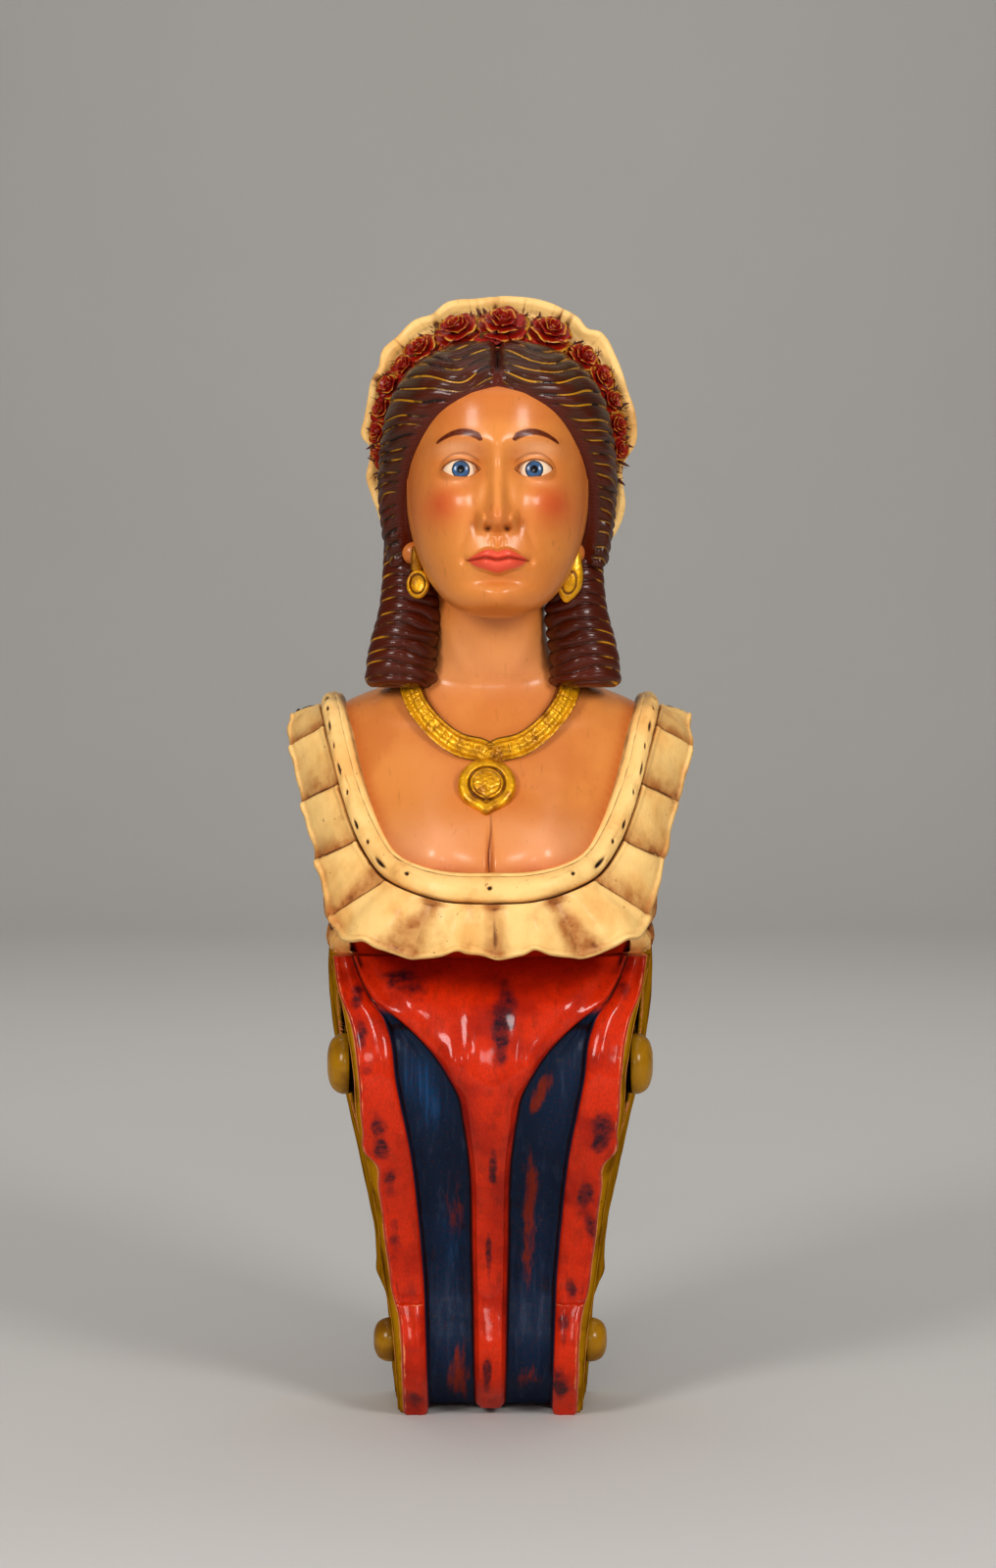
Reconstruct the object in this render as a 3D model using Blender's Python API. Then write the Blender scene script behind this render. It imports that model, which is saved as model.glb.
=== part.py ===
"""A ship figurehead: a garlanded lady's bust that grows out of a scrolled console, carved as one piece.

Metres, +Z up. The figure looks along -Y and its flat back lies in the plane Y = 0. Shapes are worked out
in carver's coordinates (x to the side, f forward from the back, h up from the foot) and placed by placed().
"""

import math

import bmesh
import bpy
import numpy as np
from mathutils import Matrix

# Driving dimensions.
MOUNT_HEIGHT = 0.400  # the origin's height above the foot, on the flat back
CONSOLE_TOP = 0.318  # where the scrolled console goes under the flounce
BACK_OVERRUN = 0.012  # how far the shapes run behind the back before it is planed flat

# The head and its cap.
HEAD_AT = np.array([0.005, 0.110, 0.632])  # x, f, h of the head's middle, level with the eyes
HEAD_TILT = math.radians(6)  # chin forward, crown back
CAP_AT = np.array([0.006, 0.661])  # x, h of the middle of the cap's frill
CAP_HALF_SIZE = (0.0905, 0.0950)  # across and up, of the frill's squarish oval
LOCK_SHIFT = 0.002  # the locks hang a little to one side, as the head does
ROSE_ANGLES = (-88, -71, -54, -37, -19, 2, 25, 46, 64, 80, 95)  # degrees from the crown, clockwise
ROSE_RING = 0.83  # share of the frill's radius at which the roses sit

# The console.
CHANNEL_DEPTH = 0.010
FOOT_LIFT = 0.0048  # how far the rib and the channels end above the foot of the bands
BEVEL = (0.0045, 0.012)  # between the console's front and side: across, and back
EYES = {  # each scroll's eye: height, forward place, radius, how far it stands out
    "upper": (0.2460, 0.094, 0.0205, 0.0125),
    "lower": (0.0495, 0.060, 0.0150, 0.0135),
}
GROOVES = {  # the sunk spiral round each eye: first and last radius, turns, half width, depth
    "upper": (0.0340, 0.043, 0.80, 0.0060, 0.0075),
    "lower": (0.0190, 0.025, 0.65, 0.0032, 0.0055),
}

WOOD = (0.62, 0.34, 0.17, 1.0)


# ---------------------------------------------------------------- curves and bodies

def through(stations, at):
    """A smooth curve through stations, rows of (parameter, values...), read at the parameters in at."""
    table = np.asarray(stations, float)
    knots, values = table[:, 0], table[:, 1:]
    step = np.diff(knots)[:, None]
    rise = np.diff(values, axis=0) / step
    middle = (rise[:-1] * step[1:] + rise[1:] * step[:-1]) / (step[1:] + step[:-1])
    slope = np.vstack([rise[:1], middle, rise[-1:]])
    at = np.asarray(at, float)
    k = np.clip(np.searchsorted(knots, at) - 1, 0, len(knots) - 2)
    t = ((at - knots[k]) / step[k, 0])[..., None]
    start = values[k] * (1 + 2 * t) * (1 - t) ** 2 + slope[k] * step[k] * t * (1 - t) ** 2
    end = values[k + 1] * t * t * (3 - 2 * t) + slope[k + 1] * step[k] * t * t * (t - 1)
    out = start + end
    return out[..., 0] if out.shape[-1] == 1 else out


def eased(low, high, value):
    """0 below low, 1 above high, and a smooth step between them."""
    t = np.clip((value - low) / (high - low), 0, 1)
    return t * t * (3 - 2 * t)


def bump(offset, width):
    """A bell curve of height 1."""
    return np.exp(-((offset / width) ** 2))


def unit(vector):
    return vector / np.linalg.norm(vector, axis=-1, keepdims=True)


def placed(points):
    """Carver's coordinates (x, f, h) in the part's own frame."""
    return np.stack([points[..., 0], -points[..., 1], points[..., 2] - MOUNT_HEIGHT], axis=-1)


def body_from(name, rings):
    """A closed body from rings of points, an array of rings x points x 3, with a flat cap at each end."""
    count, around = rings.shape[:2]
    first = np.arange(around)
    after = (first + 1) % around
    faces = []
    for low in range(0, (count - 1) * around, around):
        high = low + around
        faces += np.stack([low + first, low + after, high + after, high + first], axis=1).tolist()
    faces += [first[::-1].tolist(), ((count - 1) * around + first).tolist()]
    mesh = bpy.data.meshes.new(name)
    mesh.from_pydata(placed(rings).reshape(-1, 3).tolist(), [], faces)
    sculpted = bmesh.new()
    sculpted.from_mesh(mesh)
    bmesh.ops.remove_doubles(sculpted, verts=sculpted.verts, dist=1e-6)
    bmesh.ops.triangulate(sculpted, faces=sculpted.faces)
    bmesh.ops.recalc_face_normals(sculpted, faces=sculpted.faces)
    sculpted.to_mesh(mesh)
    sculpted.free()
    obj = bpy.data.objects.new(name, mesh)
    bpy.context.scene.collection.objects.link(obj)
    return obj


def tube(path, half_wide, half_deep, sides, across=(1.0, 0.0, 0.0)):
    """Rings of an oval tube along path. across is the direction that half_wide is measured along."""
    along = unit(np.gradient(path, axis=0))
    wide = np.broadcast_to(np.asarray(across, float), path.shape)
    wide = unit(wide - along * (wide * along).sum(1)[:, None])
    deep = np.cross(along, wide)
    turn = np.linspace(0, 2 * math.pi, sides, endpoint=False)
    half_wide, half_deep = (np.broadcast_to(half, len(path))[:, None] for half in (half_wide, half_deep))
    a, b = half_wide * np.cos(turn), half_deep * np.sin(turn)
    return path[:, None] + a[..., None] * wide[:, None] + b[..., None] * deep[:, None]


def dome(centre, axis, radius, height, sides, rings, root=0.008):
    """Rings of a half ellipsoid that stands on axis at centre, with a straight root below it."""
    axis = unit(np.asarray(axis, float))
    side = unit(np.cross(axis, (0.02, 0.05, 1.0)))
    up = np.cross(side, axis)
    turn = np.linspace(0, 2 * math.pi, sides, endpoint=False)[:, None]
    spoke = np.cos(turn) * side + np.sin(turn) * up
    lift = np.linspace(0, 0.46 * math.pi, rings)[:, None, None]
    shell = centre + radius * np.cos(lift) * spoke + height * np.sin(lift) * axis
    return np.concatenate([(centre + radius * spoke - root * axis)[None], shell])


# ---------------------------------------------------------------- console

def band_face(h):
    """How far forward the console's outer bands stand at height h: the S of the two scrolls."""
    stations = [
        (0, 0.070), (0.010, 0.078), (0.030, 0.095), (0.050, 0.101), (0.068, 0.097), (0.090, 0.092),
        (0.125, 0.101), (0.150, 0.112), (0.173, 0.127), (0.205, 0.148), (0.238, 0.158), (0.270, 0.153),
        (0.292, 0.142), (0.307, 0.129), (CONSOLE_TOP, 0.110),
    ]
    return through(stations, h) + 0.0025 * eased(-0.084, -0.078, -h)


def front_half_width(h):
    """Half width across the bands' outer edges; the upper scroll ends in a small step."""
    stations = [
        (0, 0.0585), (0.035, 0.0572), (0.080, 0.0618), (0.122, 0.0680), (0.180, 0.0770), (0.210, 0.0812),
        (0.245, 0.0862), (0.275, 0.0930), (0.305, 0.1000), (CONSOLE_TOP, 0.1040),
    ]
    return through(stations, h) + 0.0028 * bump(np.clip(h - 0.196, None, 0), 0.006)


def side_half_width(h):
    """Half width across the side boards where they meet the front's bevel."""
    return front_half_width(h) + BEVEL[0] * (1 - 0.55 * eased(0.27, CONSOLE_TOP, h))


def back_half_width(h):
    stations = [
        (0, 0.0625), (0.050, 0.0690), (0.107, 0.0785), (0.190, 0.0955), (0.250, 0.1035), (CONSOLE_TOP, 0.1090),
    ]
    return through(stations, h)


def band_inner_edge(h):
    stations = [
        (0, 0.0425), (0.035, 0.0430), (0.110, 0.0462), (0.140, 0.0485), (0.193, 0.0535), (0.240, 0.0620),
        (0.273, 0.0672), (0.281, 0.0705), (0.290, 0.0775), (0.300, 0.0840), (CONSOLE_TOP, 0.0930),
    ]
    return through(stations, h)


def skirt_half_width(h):
    """Half width of the skirt, which gathers from full width under the flounce to a narrow rib."""
    stations = [
        (0, 0.0092), (0.110, 0.0112), (0.193, 0.0138), (0.212, 0.0164), (0.230, 0.0199), (0.242, 0.0262),
        (0.259, 0.0378), (0.271, 0.0495), (0.280, 0.0600), (0.288, 0.0705), (0.300, 0.0860),
        (CONSOLE_TOP, 0.0950),
    ]
    return through(stations, h)


def console():
    """The scrolled console: a row of stations across the front, run from the foot up to the waist."""
    h = np.concatenate([[0.0, 0.010], np.linspace(0.030, 0.288, 18), [0.299, 0.309, CONSOLE_TOP]])
    face = band_face(h)
    outer, back, inner = front_half_width(h), back_half_width(h), band_inner_edge(h)
    skirt = np.minimum(skirt_half_width(h), inner - 0.003)
    sunk = CHANNEL_DEPTH * eased(0.003, 0.016, inner - skirt) + 0.002
    crown = 0.004 + 0.006 * eased(0.10, 0.24, h)
    stations = [
        (0 * h, face + crown),
        (0.50 * skirt, face + 0.9 * crown),
        (0.86 * skirt, face + 0.5 * crown),
        (skirt, face - 0.3 * sunk),
        (skirt + 0.0008, face - sunk),
        (0.5 * (skirt + inner), face - sunk - 0.0005),
        (inner - 0.0012, face - sunk),
        (inner + 0.0015, face),
        (outer, face),
        (side_half_width(h), face - BEVEL[1]),
        (back, 0 * h),
        (back, 0 * h - BACK_OVERRUN),
    ]
    half = np.array(stations)  # station, (x, f), height
    across = np.concatenate([half[:0:-1] * np.array([[-1.0], [1.0]]), half])
    heights = np.broadcast_to(h[:, None], across[:, 0].T.shape).copy()
    heights[0, np.abs(across[:, 0, 0]) < inner[0]] += FOOT_LIFT
    return body_from("console", np.stack([across[:, 0].T, across[:, 1].T, heights], axis=-1))


def side_at(h, f, side):
    """The point of the console's slanted side at height h and forward place f."""
    edge, back = side_half_width(h), back_half_width(h)
    return np.array([side * (back + (edge - back) * f / (band_face(h) - BEVEL[1])), f, h])


def scroll_eyes():
    """The round eye of each scroll, a dome on each side of the console."""
    return [
        body_from(f"eye_{place}_{side}", dome(side_at(h, f, side), (side, 0.1, 0), radius, stand, 12, 3))
        for place, (h, f, radius, stand) in EYES.items()
        for side in (-1, 1)
    ]


def scroll_groove(place, side):
    """The cutter of the spiral that is sunk round a scroll's eye."""
    h, f, _, _ = EYES[place]
    first, last, turns, half_width, depth = GROOVES[place]
    turn = np.linspace(-0.35 * math.pi, (2 * turns - 0.35) * math.pi, 14)
    radius = np.linspace(first, last, len(turn))
    path = np.array([side_at(h + r * math.sin(a), f + r * math.cos(a), side) for r, a in zip(radius, turn)])
    return body_from(f"groove_{place}_{side}", tube(path, depth, half_width, 5))


# ---------------------------------------------------------------- bust

def torso():
    """Chest, shoulders and neck: level ovals whose size follows the height."""
    stations = [  # height, half width, front, middle, back
        (0.296, 0.094, 0.145, 0.050, -0.020), (0.342, 0.104, 0.166, 0.050, -0.020),
        (0.378, 0.109, 0.170, 0.050, -0.020), (0.405, 0.112, 0.156, 0.050, -0.020),
        (0.430, 0.113, 0.139, 0.050, -0.020), (0.455, 0.112, 0.124, 0.047, -0.020),
        (0.473, 0.108, 0.114, 0.044, -0.020), (0.486, 0.098, 0.108, 0.045, -0.015),
        (0.494, 0.080, 0.105, 0.050, -0.005), (0.500, 0.063, 0.104, 0.057, 0.010),
        (0.508, 0.048, 0.106, 0.066, 0.022), (0.523, 0.040, 0.111, 0.072, 0.033),
        (0.543, 0.037, 0.117, 0.077, 0.038), (0.575, 0.0375, 0.121, 0.080, 0.040),
    ]
    h, wide, front, middle, back = (column[:, None] for column in np.array(stations).T)
    turn = np.linspace(-math.pi, math.pi, 24, endpoint=False)[None]
    cos, sin = np.cos(turn), np.sin(turn)
    x = wide * np.sign(sin) * np.abs(sin) ** 0.85
    reach = np.where(cos > 0, front - middle, middle - back)
    f = middle + reach * np.sign(cos) * np.abs(cos) ** 0.8
    bosom = 0.012 * (bump(x - 0.036, 0.026) + bump(x + 0.036, 0.026)) * bump(h - 0.384, 0.028)
    f = f + np.where(cos > 0, bosom, 0)
    return body_from("torso", np.stack([x, f, np.broadcast_to(h, x.shape)], axis=-1))


NECKLINE = [  # from the middle of the chest over the shoulder to the back: t, then x, h, f
    (0.00, 0.0000, 0.3790, 0.1760), (0.10, 0.0240, 0.3795, 0.1765), (0.20, 0.0445, 0.3830, 0.1680),
    (0.30, 0.0600, 0.3905, 0.1540), (0.40, 0.0710, 0.4065, 0.1380), (0.50, 0.0805, 0.4270, 0.1220),
    (0.60, 0.0880, 0.4485, 0.1080), (0.70, 0.0935, 0.4695, 0.0920), (0.80, 0.0985, 0.4845, 0.0700),
    (0.90, 0.1020, 0.4885, 0.0400), (1.00, 0.1010, 0.4870, -0.0120),
]
SEAM = [  # where the band ends and the frill starts
    (0.00, 0.0000, 0.3594, 0.1880), (0.10, 0.0280, 0.3610, 0.1870), (0.20, 0.0520, 0.3670, 0.1770),
    (0.30, 0.0710, 0.3760, 0.1600), (0.40, 0.0840, 0.3920, 0.1425), (0.50, 0.0925, 0.4100, 0.1280),
    (0.60, 0.1000, 0.4330, 0.1130), (0.70, 0.1065, 0.4565, 0.0970), (0.80, 0.1125, 0.4765, 0.0750),
    (0.90, 0.1150, 0.4820, 0.0420), (1.00, 0.1140, 0.4810, -0.0120),
]
HEM = [
    (0.00, 0.0000, 0.3310, 0.1940), (0.10, 0.0400, 0.3285, 0.1930), (0.20, 0.0750, 0.3310, 0.1800),
    (0.30, 0.0990, 0.3400, 0.1570), (0.40, 0.1110, 0.3570, 0.1370), (0.50, 0.1190, 0.3810, 0.1170),
    (0.60, 0.1265, 0.4085, 0.0960), (0.70, 0.1330, 0.4360, 0.0780), (0.80, 0.1372, 0.4610, 0.0600),
    (0.90, 0.1365, 0.4745, 0.0320), (1.00, 0.1330, 0.4775, -0.0120),
]


def frill_wave(t):
    """Folds of the frill, -1 to 1: soft waves across the chest, one-way pleats over the shoulders."""
    waves = np.cos(t * 2 * math.pi * 5.2)
    pleats = 2 * np.mod(np.abs(t) * 11.5 - 0.3, 1.0) - 1
    share = eased(0.24, 0.40, np.abs(t))
    return waves * (1 - share) + pleats * share


def collar():
    """The neckline's band and its deep frill, one ring of section for each step along the neckline."""
    t = np.linspace(-1, 1, 47)
    curves = []
    for stations in (NECKLINE, SEAM, HEM):
        x, h, f = through(stations, np.abs(t)).T
        curves.append(np.stack([np.sign(t) * x, f, h], axis=-1))
    neck, seam, hem = curves
    wave = frill_wave(t)[:, None]
    out = unit(np.cross(np.gradient(seam, axis=0), hem - neck))
    out *= np.sign(out[:, 1:2] + 1e-9 + (np.abs(t)[:, None] > 0.75) * out[:, 2:])
    fall = unit(hem - seam)
    sections = [
        neck + 0.002 * out,
        0.5 * (neck + seam) + 0.006 * out,
        seam + 0.0015 * out,
        0.5 * (seam + hem) + (0.004 + 0.0022 * wave) * out,
        hem + (0.002 + 0.0032 * wave) * out + 0.0015 * wave * fall,
        hem + (-0.004 + 0.0032 * wave) * out + 0.0015 * wave * fall,
        seam - 0.014 * out,
        neck - 0.010 * out - 0.002 * fall,
    ]
    return body_from("collar", np.stack(sections, axis=1))


def side_gathers(side):
    """The gathered cloth under the arm, between the frill and the back."""
    f = np.linspace(-BACK_OVERRUN, 0.118, 14)
    stations = [(0.306, 0.104, 0.92), (0.335, 0.112, 0.96), (0.375, 0.114, 0.96), (0.415, 0.117, 0.86),
                (0.455, 0.119, 0.66), (0.474, 0.114, 0.52)]
    rings = []
    for height, wide, share in stations:
        forward = f * share
        pleat = 0.0022 * np.cos(f * 2 * math.pi / 0.024)
        taper = 0.012 * (np.clip(forward, 0, None) / 0.11) ** 2
        outside = np.stack([side * (wide + pleat - taper), forward, height + 0 * f], axis=-1)
        inside = outside[[-1, 0]] * np.array([0.0, 1.0, 1.0]) + np.array([side * 0.080, 0, 0])
        rings.append(np.concatenate([outside, inside]))
    return body_from(f"gathers_{side}", np.array(rings))


def necklace():
    """A flat collar of metal plates that dips to a round pendant."""
    stations = [(0.0, 0.0000, 0.4547, 0.1250), (0.25, 0.0200, 0.4590, 0.1225), (0.5, 0.0355, 0.4700, 0.1160),
                (0.75, 0.0475, 0.4850, 0.1070), (1.0, 0.0545, 0.5020, 0.0960)]
    t = np.linspace(-1, 1, 21)
    x, h, f = through(stations, np.abs(t)).T
    path = np.stack([np.sign(t) * x, f, h], axis=-1)
    along = unit(np.gradient(path, axis=0))
    out = unit(np.array([0.0, 1.0, 0.25]) + path * np.array([6.0, 0, 0]))
    across = unit(np.cross(along, out))
    half = 0.0076
    sections = [path - half * across - 0.006 * out, path - half * across + 0.0012 * out,
                path - 0.55 * half * across + 0.0035 * out, path + 0.55 * half * across + 0.0035 * out,
                path + half * across + 0.0012 * out, path + half * across - 0.006 * out]
    return body_from("necklace", np.stack(sections, axis=1))


def pendant():
    """A round medal with a raised middle, hung from the necklace's lowest plate."""
    centre, axis = np.array([-0.002, 0.1385, 0.4325]), unit(np.array([0.0, 1.0, 0.55]))
    side = np.array([1.0, 0.0, 0.0])
    up = np.cross(side, axis)
    turn = np.linspace(0, 2 * math.pi, 18, endpoint=False)[:, None]
    spoke = np.cos(turn) * side + np.sin(turn) * up
    profile = [(0.0190, -0.010), (0.0190, 0.0035), (0.0175, 0.0060), (0.0128, 0.0062), (0.0116, 0.0046),
               (0.0104, 0.0066), (0.0038, 0.0074)]
    return body_from("pendant", np.array([centre + radius * spoke + lift * axis for radius, lift in profile]))


# ---------------------------------------------------------------- head

def in_head(points):
    """Head coordinates (x, forward, up from the eyes) tilted and moved to their place on the bust."""
    x, f, h = points[..., 0], points[..., 1], points[..., 2]
    cos, sin = math.cos(HEAD_TILT), math.sin(HEAD_TILT)
    return np.stack([x, f * cos - h * sin, h * cos + f * sin], axis=-1) + HEAD_AT


def face_relief(x, h):
    """How far the features stand forward of the head's plain egg, x to the side and h above the eyes."""
    side = np.abs(x)
    sockets = -0.0065 * bump(side - 0.0225, 0.014) * bump(h - 0.002, 0.011)
    eyeballs = 0.0048 * bump(side - 0.0232, 0.0085) * bump(h, 0.0060)
    brow = 0.0020 * bump(side - 0.024, 0.020) * bump(h - 0.0175, 0.006)
    bridge = through([(-0.044, 0), (-0.0405, 0.003), (-0.0345, 0.0175), (-0.028, 0.0150), (-0.016, 0.0092),
                      (-0.004, 0.0045), (0.010, 0.0022), (0.024, 0)], np.clip(h, -0.044, 0.024))
    nose = bridge * np.exp(-((side / (0.0052 + 0.0022 * bump(h + 0.034, 0.010))) ** 2.2))
    wings = 0.0072 * bump(side - 0.0088, 0.0042) * bump(h + 0.0345, 0.0052)
    muzzle = 0.0030 * bump(x, 0.019) * bump(h + 0.056, 0.015)
    upper_lip = 0.0032 * bump(x, 0.012) * bump(h + 0.0555, 0.0036)
    lower_lip = 0.0038 * bump(x, 0.011) * bump(h + 0.0632, 0.0040)
    fold = -0.0022 * bump(x, 0.016) * bump(h + 0.0715, 0.0042)
    chin = 0.0034 * bump(x, 0.014) * bump(h + 0.0820, 0.0085)
    cheeks = 0.0035 * bump(side - 0.031, 0.015) * bump(h + 0.022, 0.016)
    return sockets + eyeballs + brow + nose + wings + muzzle + upper_lip + lower_lip + fold + chin + cheeks


def head():
    """The head: level ovals from crown to chin, with the face's relief on their front."""
    stations = [  # share down from the crown; height, half width, front, middle, back
        (0.00, 0.0955, 0.012, 0.020, 0.004, -0.014), (0.06, 0.088, 0.034, 0.046, 0.002, -0.036),
        (0.14, 0.072, 0.0500, 0.0630, 0.000, -0.056), (0.24, 0.050, 0.0580, 0.0725, 0.000, -0.068),
        (0.34, 0.030, 0.0605, 0.0755, 0.000, -0.072), (0.44, 0.010, 0.0610, 0.0745, 0.000, -0.073),
        (0.54, -0.010, 0.0605, 0.0725, 0.000, -0.070), (0.64, -0.030, 0.0580, 0.0720, 0.000, -0.062),
        (0.72, -0.045, 0.0540, 0.0722, 0.003, -0.048), (0.80, -0.060, 0.0482, 0.0720, 0.010, -0.030),
        (0.86, -0.071, 0.0420, 0.0705, 0.020, -0.010), (0.92, -0.082, 0.0330, 0.0690, 0.032, 0.010),
        (0.97, -0.0895, 0.0220, 0.0625, 0.040, 0.024), (1.00, -0.0930, 0.0110, 0.0530, 0.044, 0.035),
    ]
    down = np.concatenate([np.linspace(0, 0.36, 4), np.linspace(0.43, 0.97, 19), [1.0]])
    h, wide, front, middle, back = (column[:, None] for column in through(stations, down).T)
    turn = np.concatenate([np.linspace(-1.1, 1.1, 19), np.linspace(1.1, 2 * math.pi - 1.1, 8)[1:-1]])[None]
    cos, sin = np.cos(turn), np.sin(turn)
    x = wide * np.sign(sin) * np.abs(sin) ** 0.92
    reach = np.where(cos > 0, front - middle, middle - back)
    f = middle + reach * np.sign(cos) * np.abs(cos) ** 0.86
    f = f + face_relief(x, h + 0 * x) * eased(0.05, 0.45, cos)
    return body_from("head", in_head(np.stack([x, f, h + 0 * x], axis=-1)))


HAIRLINE = [  # from the parting down to the ear: t, then x from the head's middle, h, f
    (0.00, 0.0000, 0.6885, 0.172), (0.15, 0.0200, 0.6850, 0.168), (0.30, 0.0360, 0.6755, 0.159),
    (0.45, 0.0485, 0.6600, 0.147), (0.60, 0.0565, 0.6410, 0.134), (0.75, 0.0600, 0.6190, 0.121),
    (0.90, 0.0590, 0.5970, 0.110), (1.00, 0.0560, 0.5800, 0.103),
]
GARLAND_LINE = [  # where the hair goes under the garland
    (0.00, 0.0000, 0.739, 0.102), (0.15, 0.0230, 0.736, 0.102), (0.30, 0.0450, 0.727, 0.101),
    (0.45, 0.0620, 0.708, 0.098), (0.60, 0.0725, 0.683, 0.094), (0.75, 0.0770, 0.654, 0.091),
    (0.90, 0.0775, 0.620, 0.088), (1.00, 0.0740, 0.585, 0.084),
]


def front_hair():
    """The waved hair between the face and the garland, parted in the middle and rolled down to both ears."""
    t = np.linspace(-1, 1, 27)
    lines = []
    for stations in (HAIRLINE, GARLAND_LINE):
        x, h, f = through(stations, np.abs(t)).T
        lines.append(np.stack([np.sign(t) * x + HEAD_AT[0], f, h], axis=-1))
    front, back = lines
    out = unit(np.cross(back - front, np.gradient(front, axis=0)))
    puff = through([(0.0, 0.014), (0.10, 0.021), (0.35, 0.022), (0.60, 0.016), (1.0, 0.012)], np.abs(t))
    puff = puff * (1 + 0.07 * np.cos(np.arange(len(t)) * math.pi) * eased(0.3, 0.6, np.abs(t)))
    middle = np.array([HEAD_AT[0], 0.095, 0.640])
    profile = [(0.00, 0.0), (0.06, 0.62), (0.22, 1.0), (0.45, 0.97), (0.75, 0.58), (1.00, 0.0)]
    sections = [front + share * (back - front) + (lift * puff)[:, None] * out for share, lift in profile]
    sections += [back + 0.8 * (middle - back), front + 0.8 * (middle - front)]
    return body_from("front_hair", np.stack(sections, axis=1))


def hair_lock(side):
    """The ribbed lock that falls beside the neck and rests on the shoulder."""
    stations = [  # along; x, f, h, half width, half depth
        (0.00, 0.0600, 0.084, 0.618, 0.0120, 0.0120), (0.25, 0.0575, 0.090, 0.578, 0.0160, 0.0155),
        (0.50, 0.0555, 0.094, 0.550, 0.0205, 0.0180), (0.75, 0.0595, 0.097, 0.526, 0.0225, 0.0205),
        (0.92, 0.0615, 0.097, 0.509, 0.0230, 0.0200), (1.00, 0.0615, 0.094, 0.497, 0.0215, 0.0165),
    ]
    t = np.linspace(0, 1, 15)
    x, f, h, wide, deep = through(stations, t).T
    ribs = 1 + 0.045 * np.cos(np.arange(len(t)) * math.pi)
    rings = tube(np.stack([side * x + LOCK_SHIFT, f, h], axis=-1), wide * ribs, deep * ribs, 8)
    return body_from(f"hair_lock_{side}", rings)


def cap_radius(turn):
    """Radius of the cap's squarish oval frill at an angle from the crown."""
    across, up = CAP_HALF_SIZE
    return (np.abs(np.sin(turn) / across) ** 2.5 + np.abs(np.cos(turn) / up) ** 2.5) ** (-1 / 2.5)


def cap():
    """The round cap behind the hair, whose scalloped frill stands out round the head."""
    profile = [  # share of the frill's radius, forward place, share of the scallops
        (0.66, 0.098, 0.0), (0.89, 0.088, 0.4), (1.0, 0.0900, 1.0), (1.0, 0.0855, 1.0),
        (0.95, 0.072, 0.4), (0.88, 0.052, 0.0), (0.71, 0.030, 0.0), (0.42, 0.014, 0.0),
    ]
    turn = np.linspace(0, 2 * math.pi, 30, endpoint=False)
    scallop = np.cos(turn * 10 + 0.6 * np.sin(turn * 3))
    rings = []
    for reach, forward, share in profile:
        r = cap_radius(turn) * reach * (1 + 0.012 * share * scallop)
        rings.append(np.stack([CAP_AT[0] + r * np.sin(turn), forward + 0.0022 * share * scallop,
                               CAP_AT[1] + r * np.cos(turn)], axis=-1))
    return body_from("cap", np.array(rings))


def rose_place(angle):
    """Middle, axis and radius of the rose that sits at this angle from the crown."""
    a = math.radians(angle)
    beside = abs(math.sin(a))
    radial = np.array([math.sin(a), 0.0, math.cos(a)])
    centre = np.array([CAP_AT[0], 0.104 - 0.006 * beside, CAP_AT[1]]) + ROSE_RING * cap_radius(a) * radial
    return centre, unit(np.array([0.0, 1.0, 0.0]) + (0.45 + 0.5 * beside) * radial), 0.0160 - 0.0045 * beside


def rose(number):
    """An open rose of the garland: two rows of lobed petals and a bud."""
    centre, axis, radius = rose_place(ROSE_ANGLES[number])
    side = unit(np.cross(axis, (0.1, 0.0, 1.0)))
    up = np.cross(side, axis)
    turn = np.linspace(0, 2 * math.pi, 8, endpoint=False)[:, None] + number
    spoke = np.cos(turn) * side + np.sin(turn) * up
    lobes = 0.07 * np.cos(4 * (turn - number))
    profile = [(0.80, -1.20, 0), (1.00, 0.14, 1), (0.68, 0.38, -1), (0.42, 0.70, -1)]
    rings = [
        centre + radius * (reach * (1 + lobes * share) * spoke + lift * axis)
        for reach, lift, share in profile
    ]
    return body_from(f"rose_{number}", np.array(rings))


def ear_and_drop(side):
    """The lobe of the ear below the hair, and the drop that hangs from it."""
    x = 0.0515 if side > 0 else 0.0480
    middle = np.array([side * (x + 0.004), 0.102, 0.591])
    lobe = dome(middle, (side * 0.2, 1.0, 0), 0.0125, 0.014, 8, 3, root=0.03)
    fall = np.linspace(0, 1, 8)
    path = np.stack([side * (x + 0.004 * (1 - fall)), 0.116 + 0 * fall, 0.590 - 0.039 * fall], axis=-1)
    girth = 0.0078 * np.sin((0.12 + 0.88 * fall) ** 1.7 * math.pi * 0.94) + 0.0012
    return [body_from(f"lobe_{side}", lobe), body_from(f"drop_{side}", tube(path, girth, 0.8 * girth, 8))]


# ---------------------------------------------------------------- the whole figure

def hidden(obj):
    obj.hide_render = True
    obj.display_type = "WIRE"
    return obj


def gathered(name, objects):
    """The helpers in one collection, out of the render, for a Boolean to read."""
    group = bpy.data.collections.new(name)
    bpy.context.scene.collection.children.link(group)
    for obj in objects:
        bpy.context.scene.collection.objects.unlink(obj)
        group.objects.link(hidden(obj))
    return group


def boolean(obj, name, operation, group):
    modifier = obj.modifiers.new(name, "BOOLEAN")
    modifier.operation = operation
    modifier.solver = "EXACT"
    modifier.operand_type = "COLLECTION"
    modifier.collection = group


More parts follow.
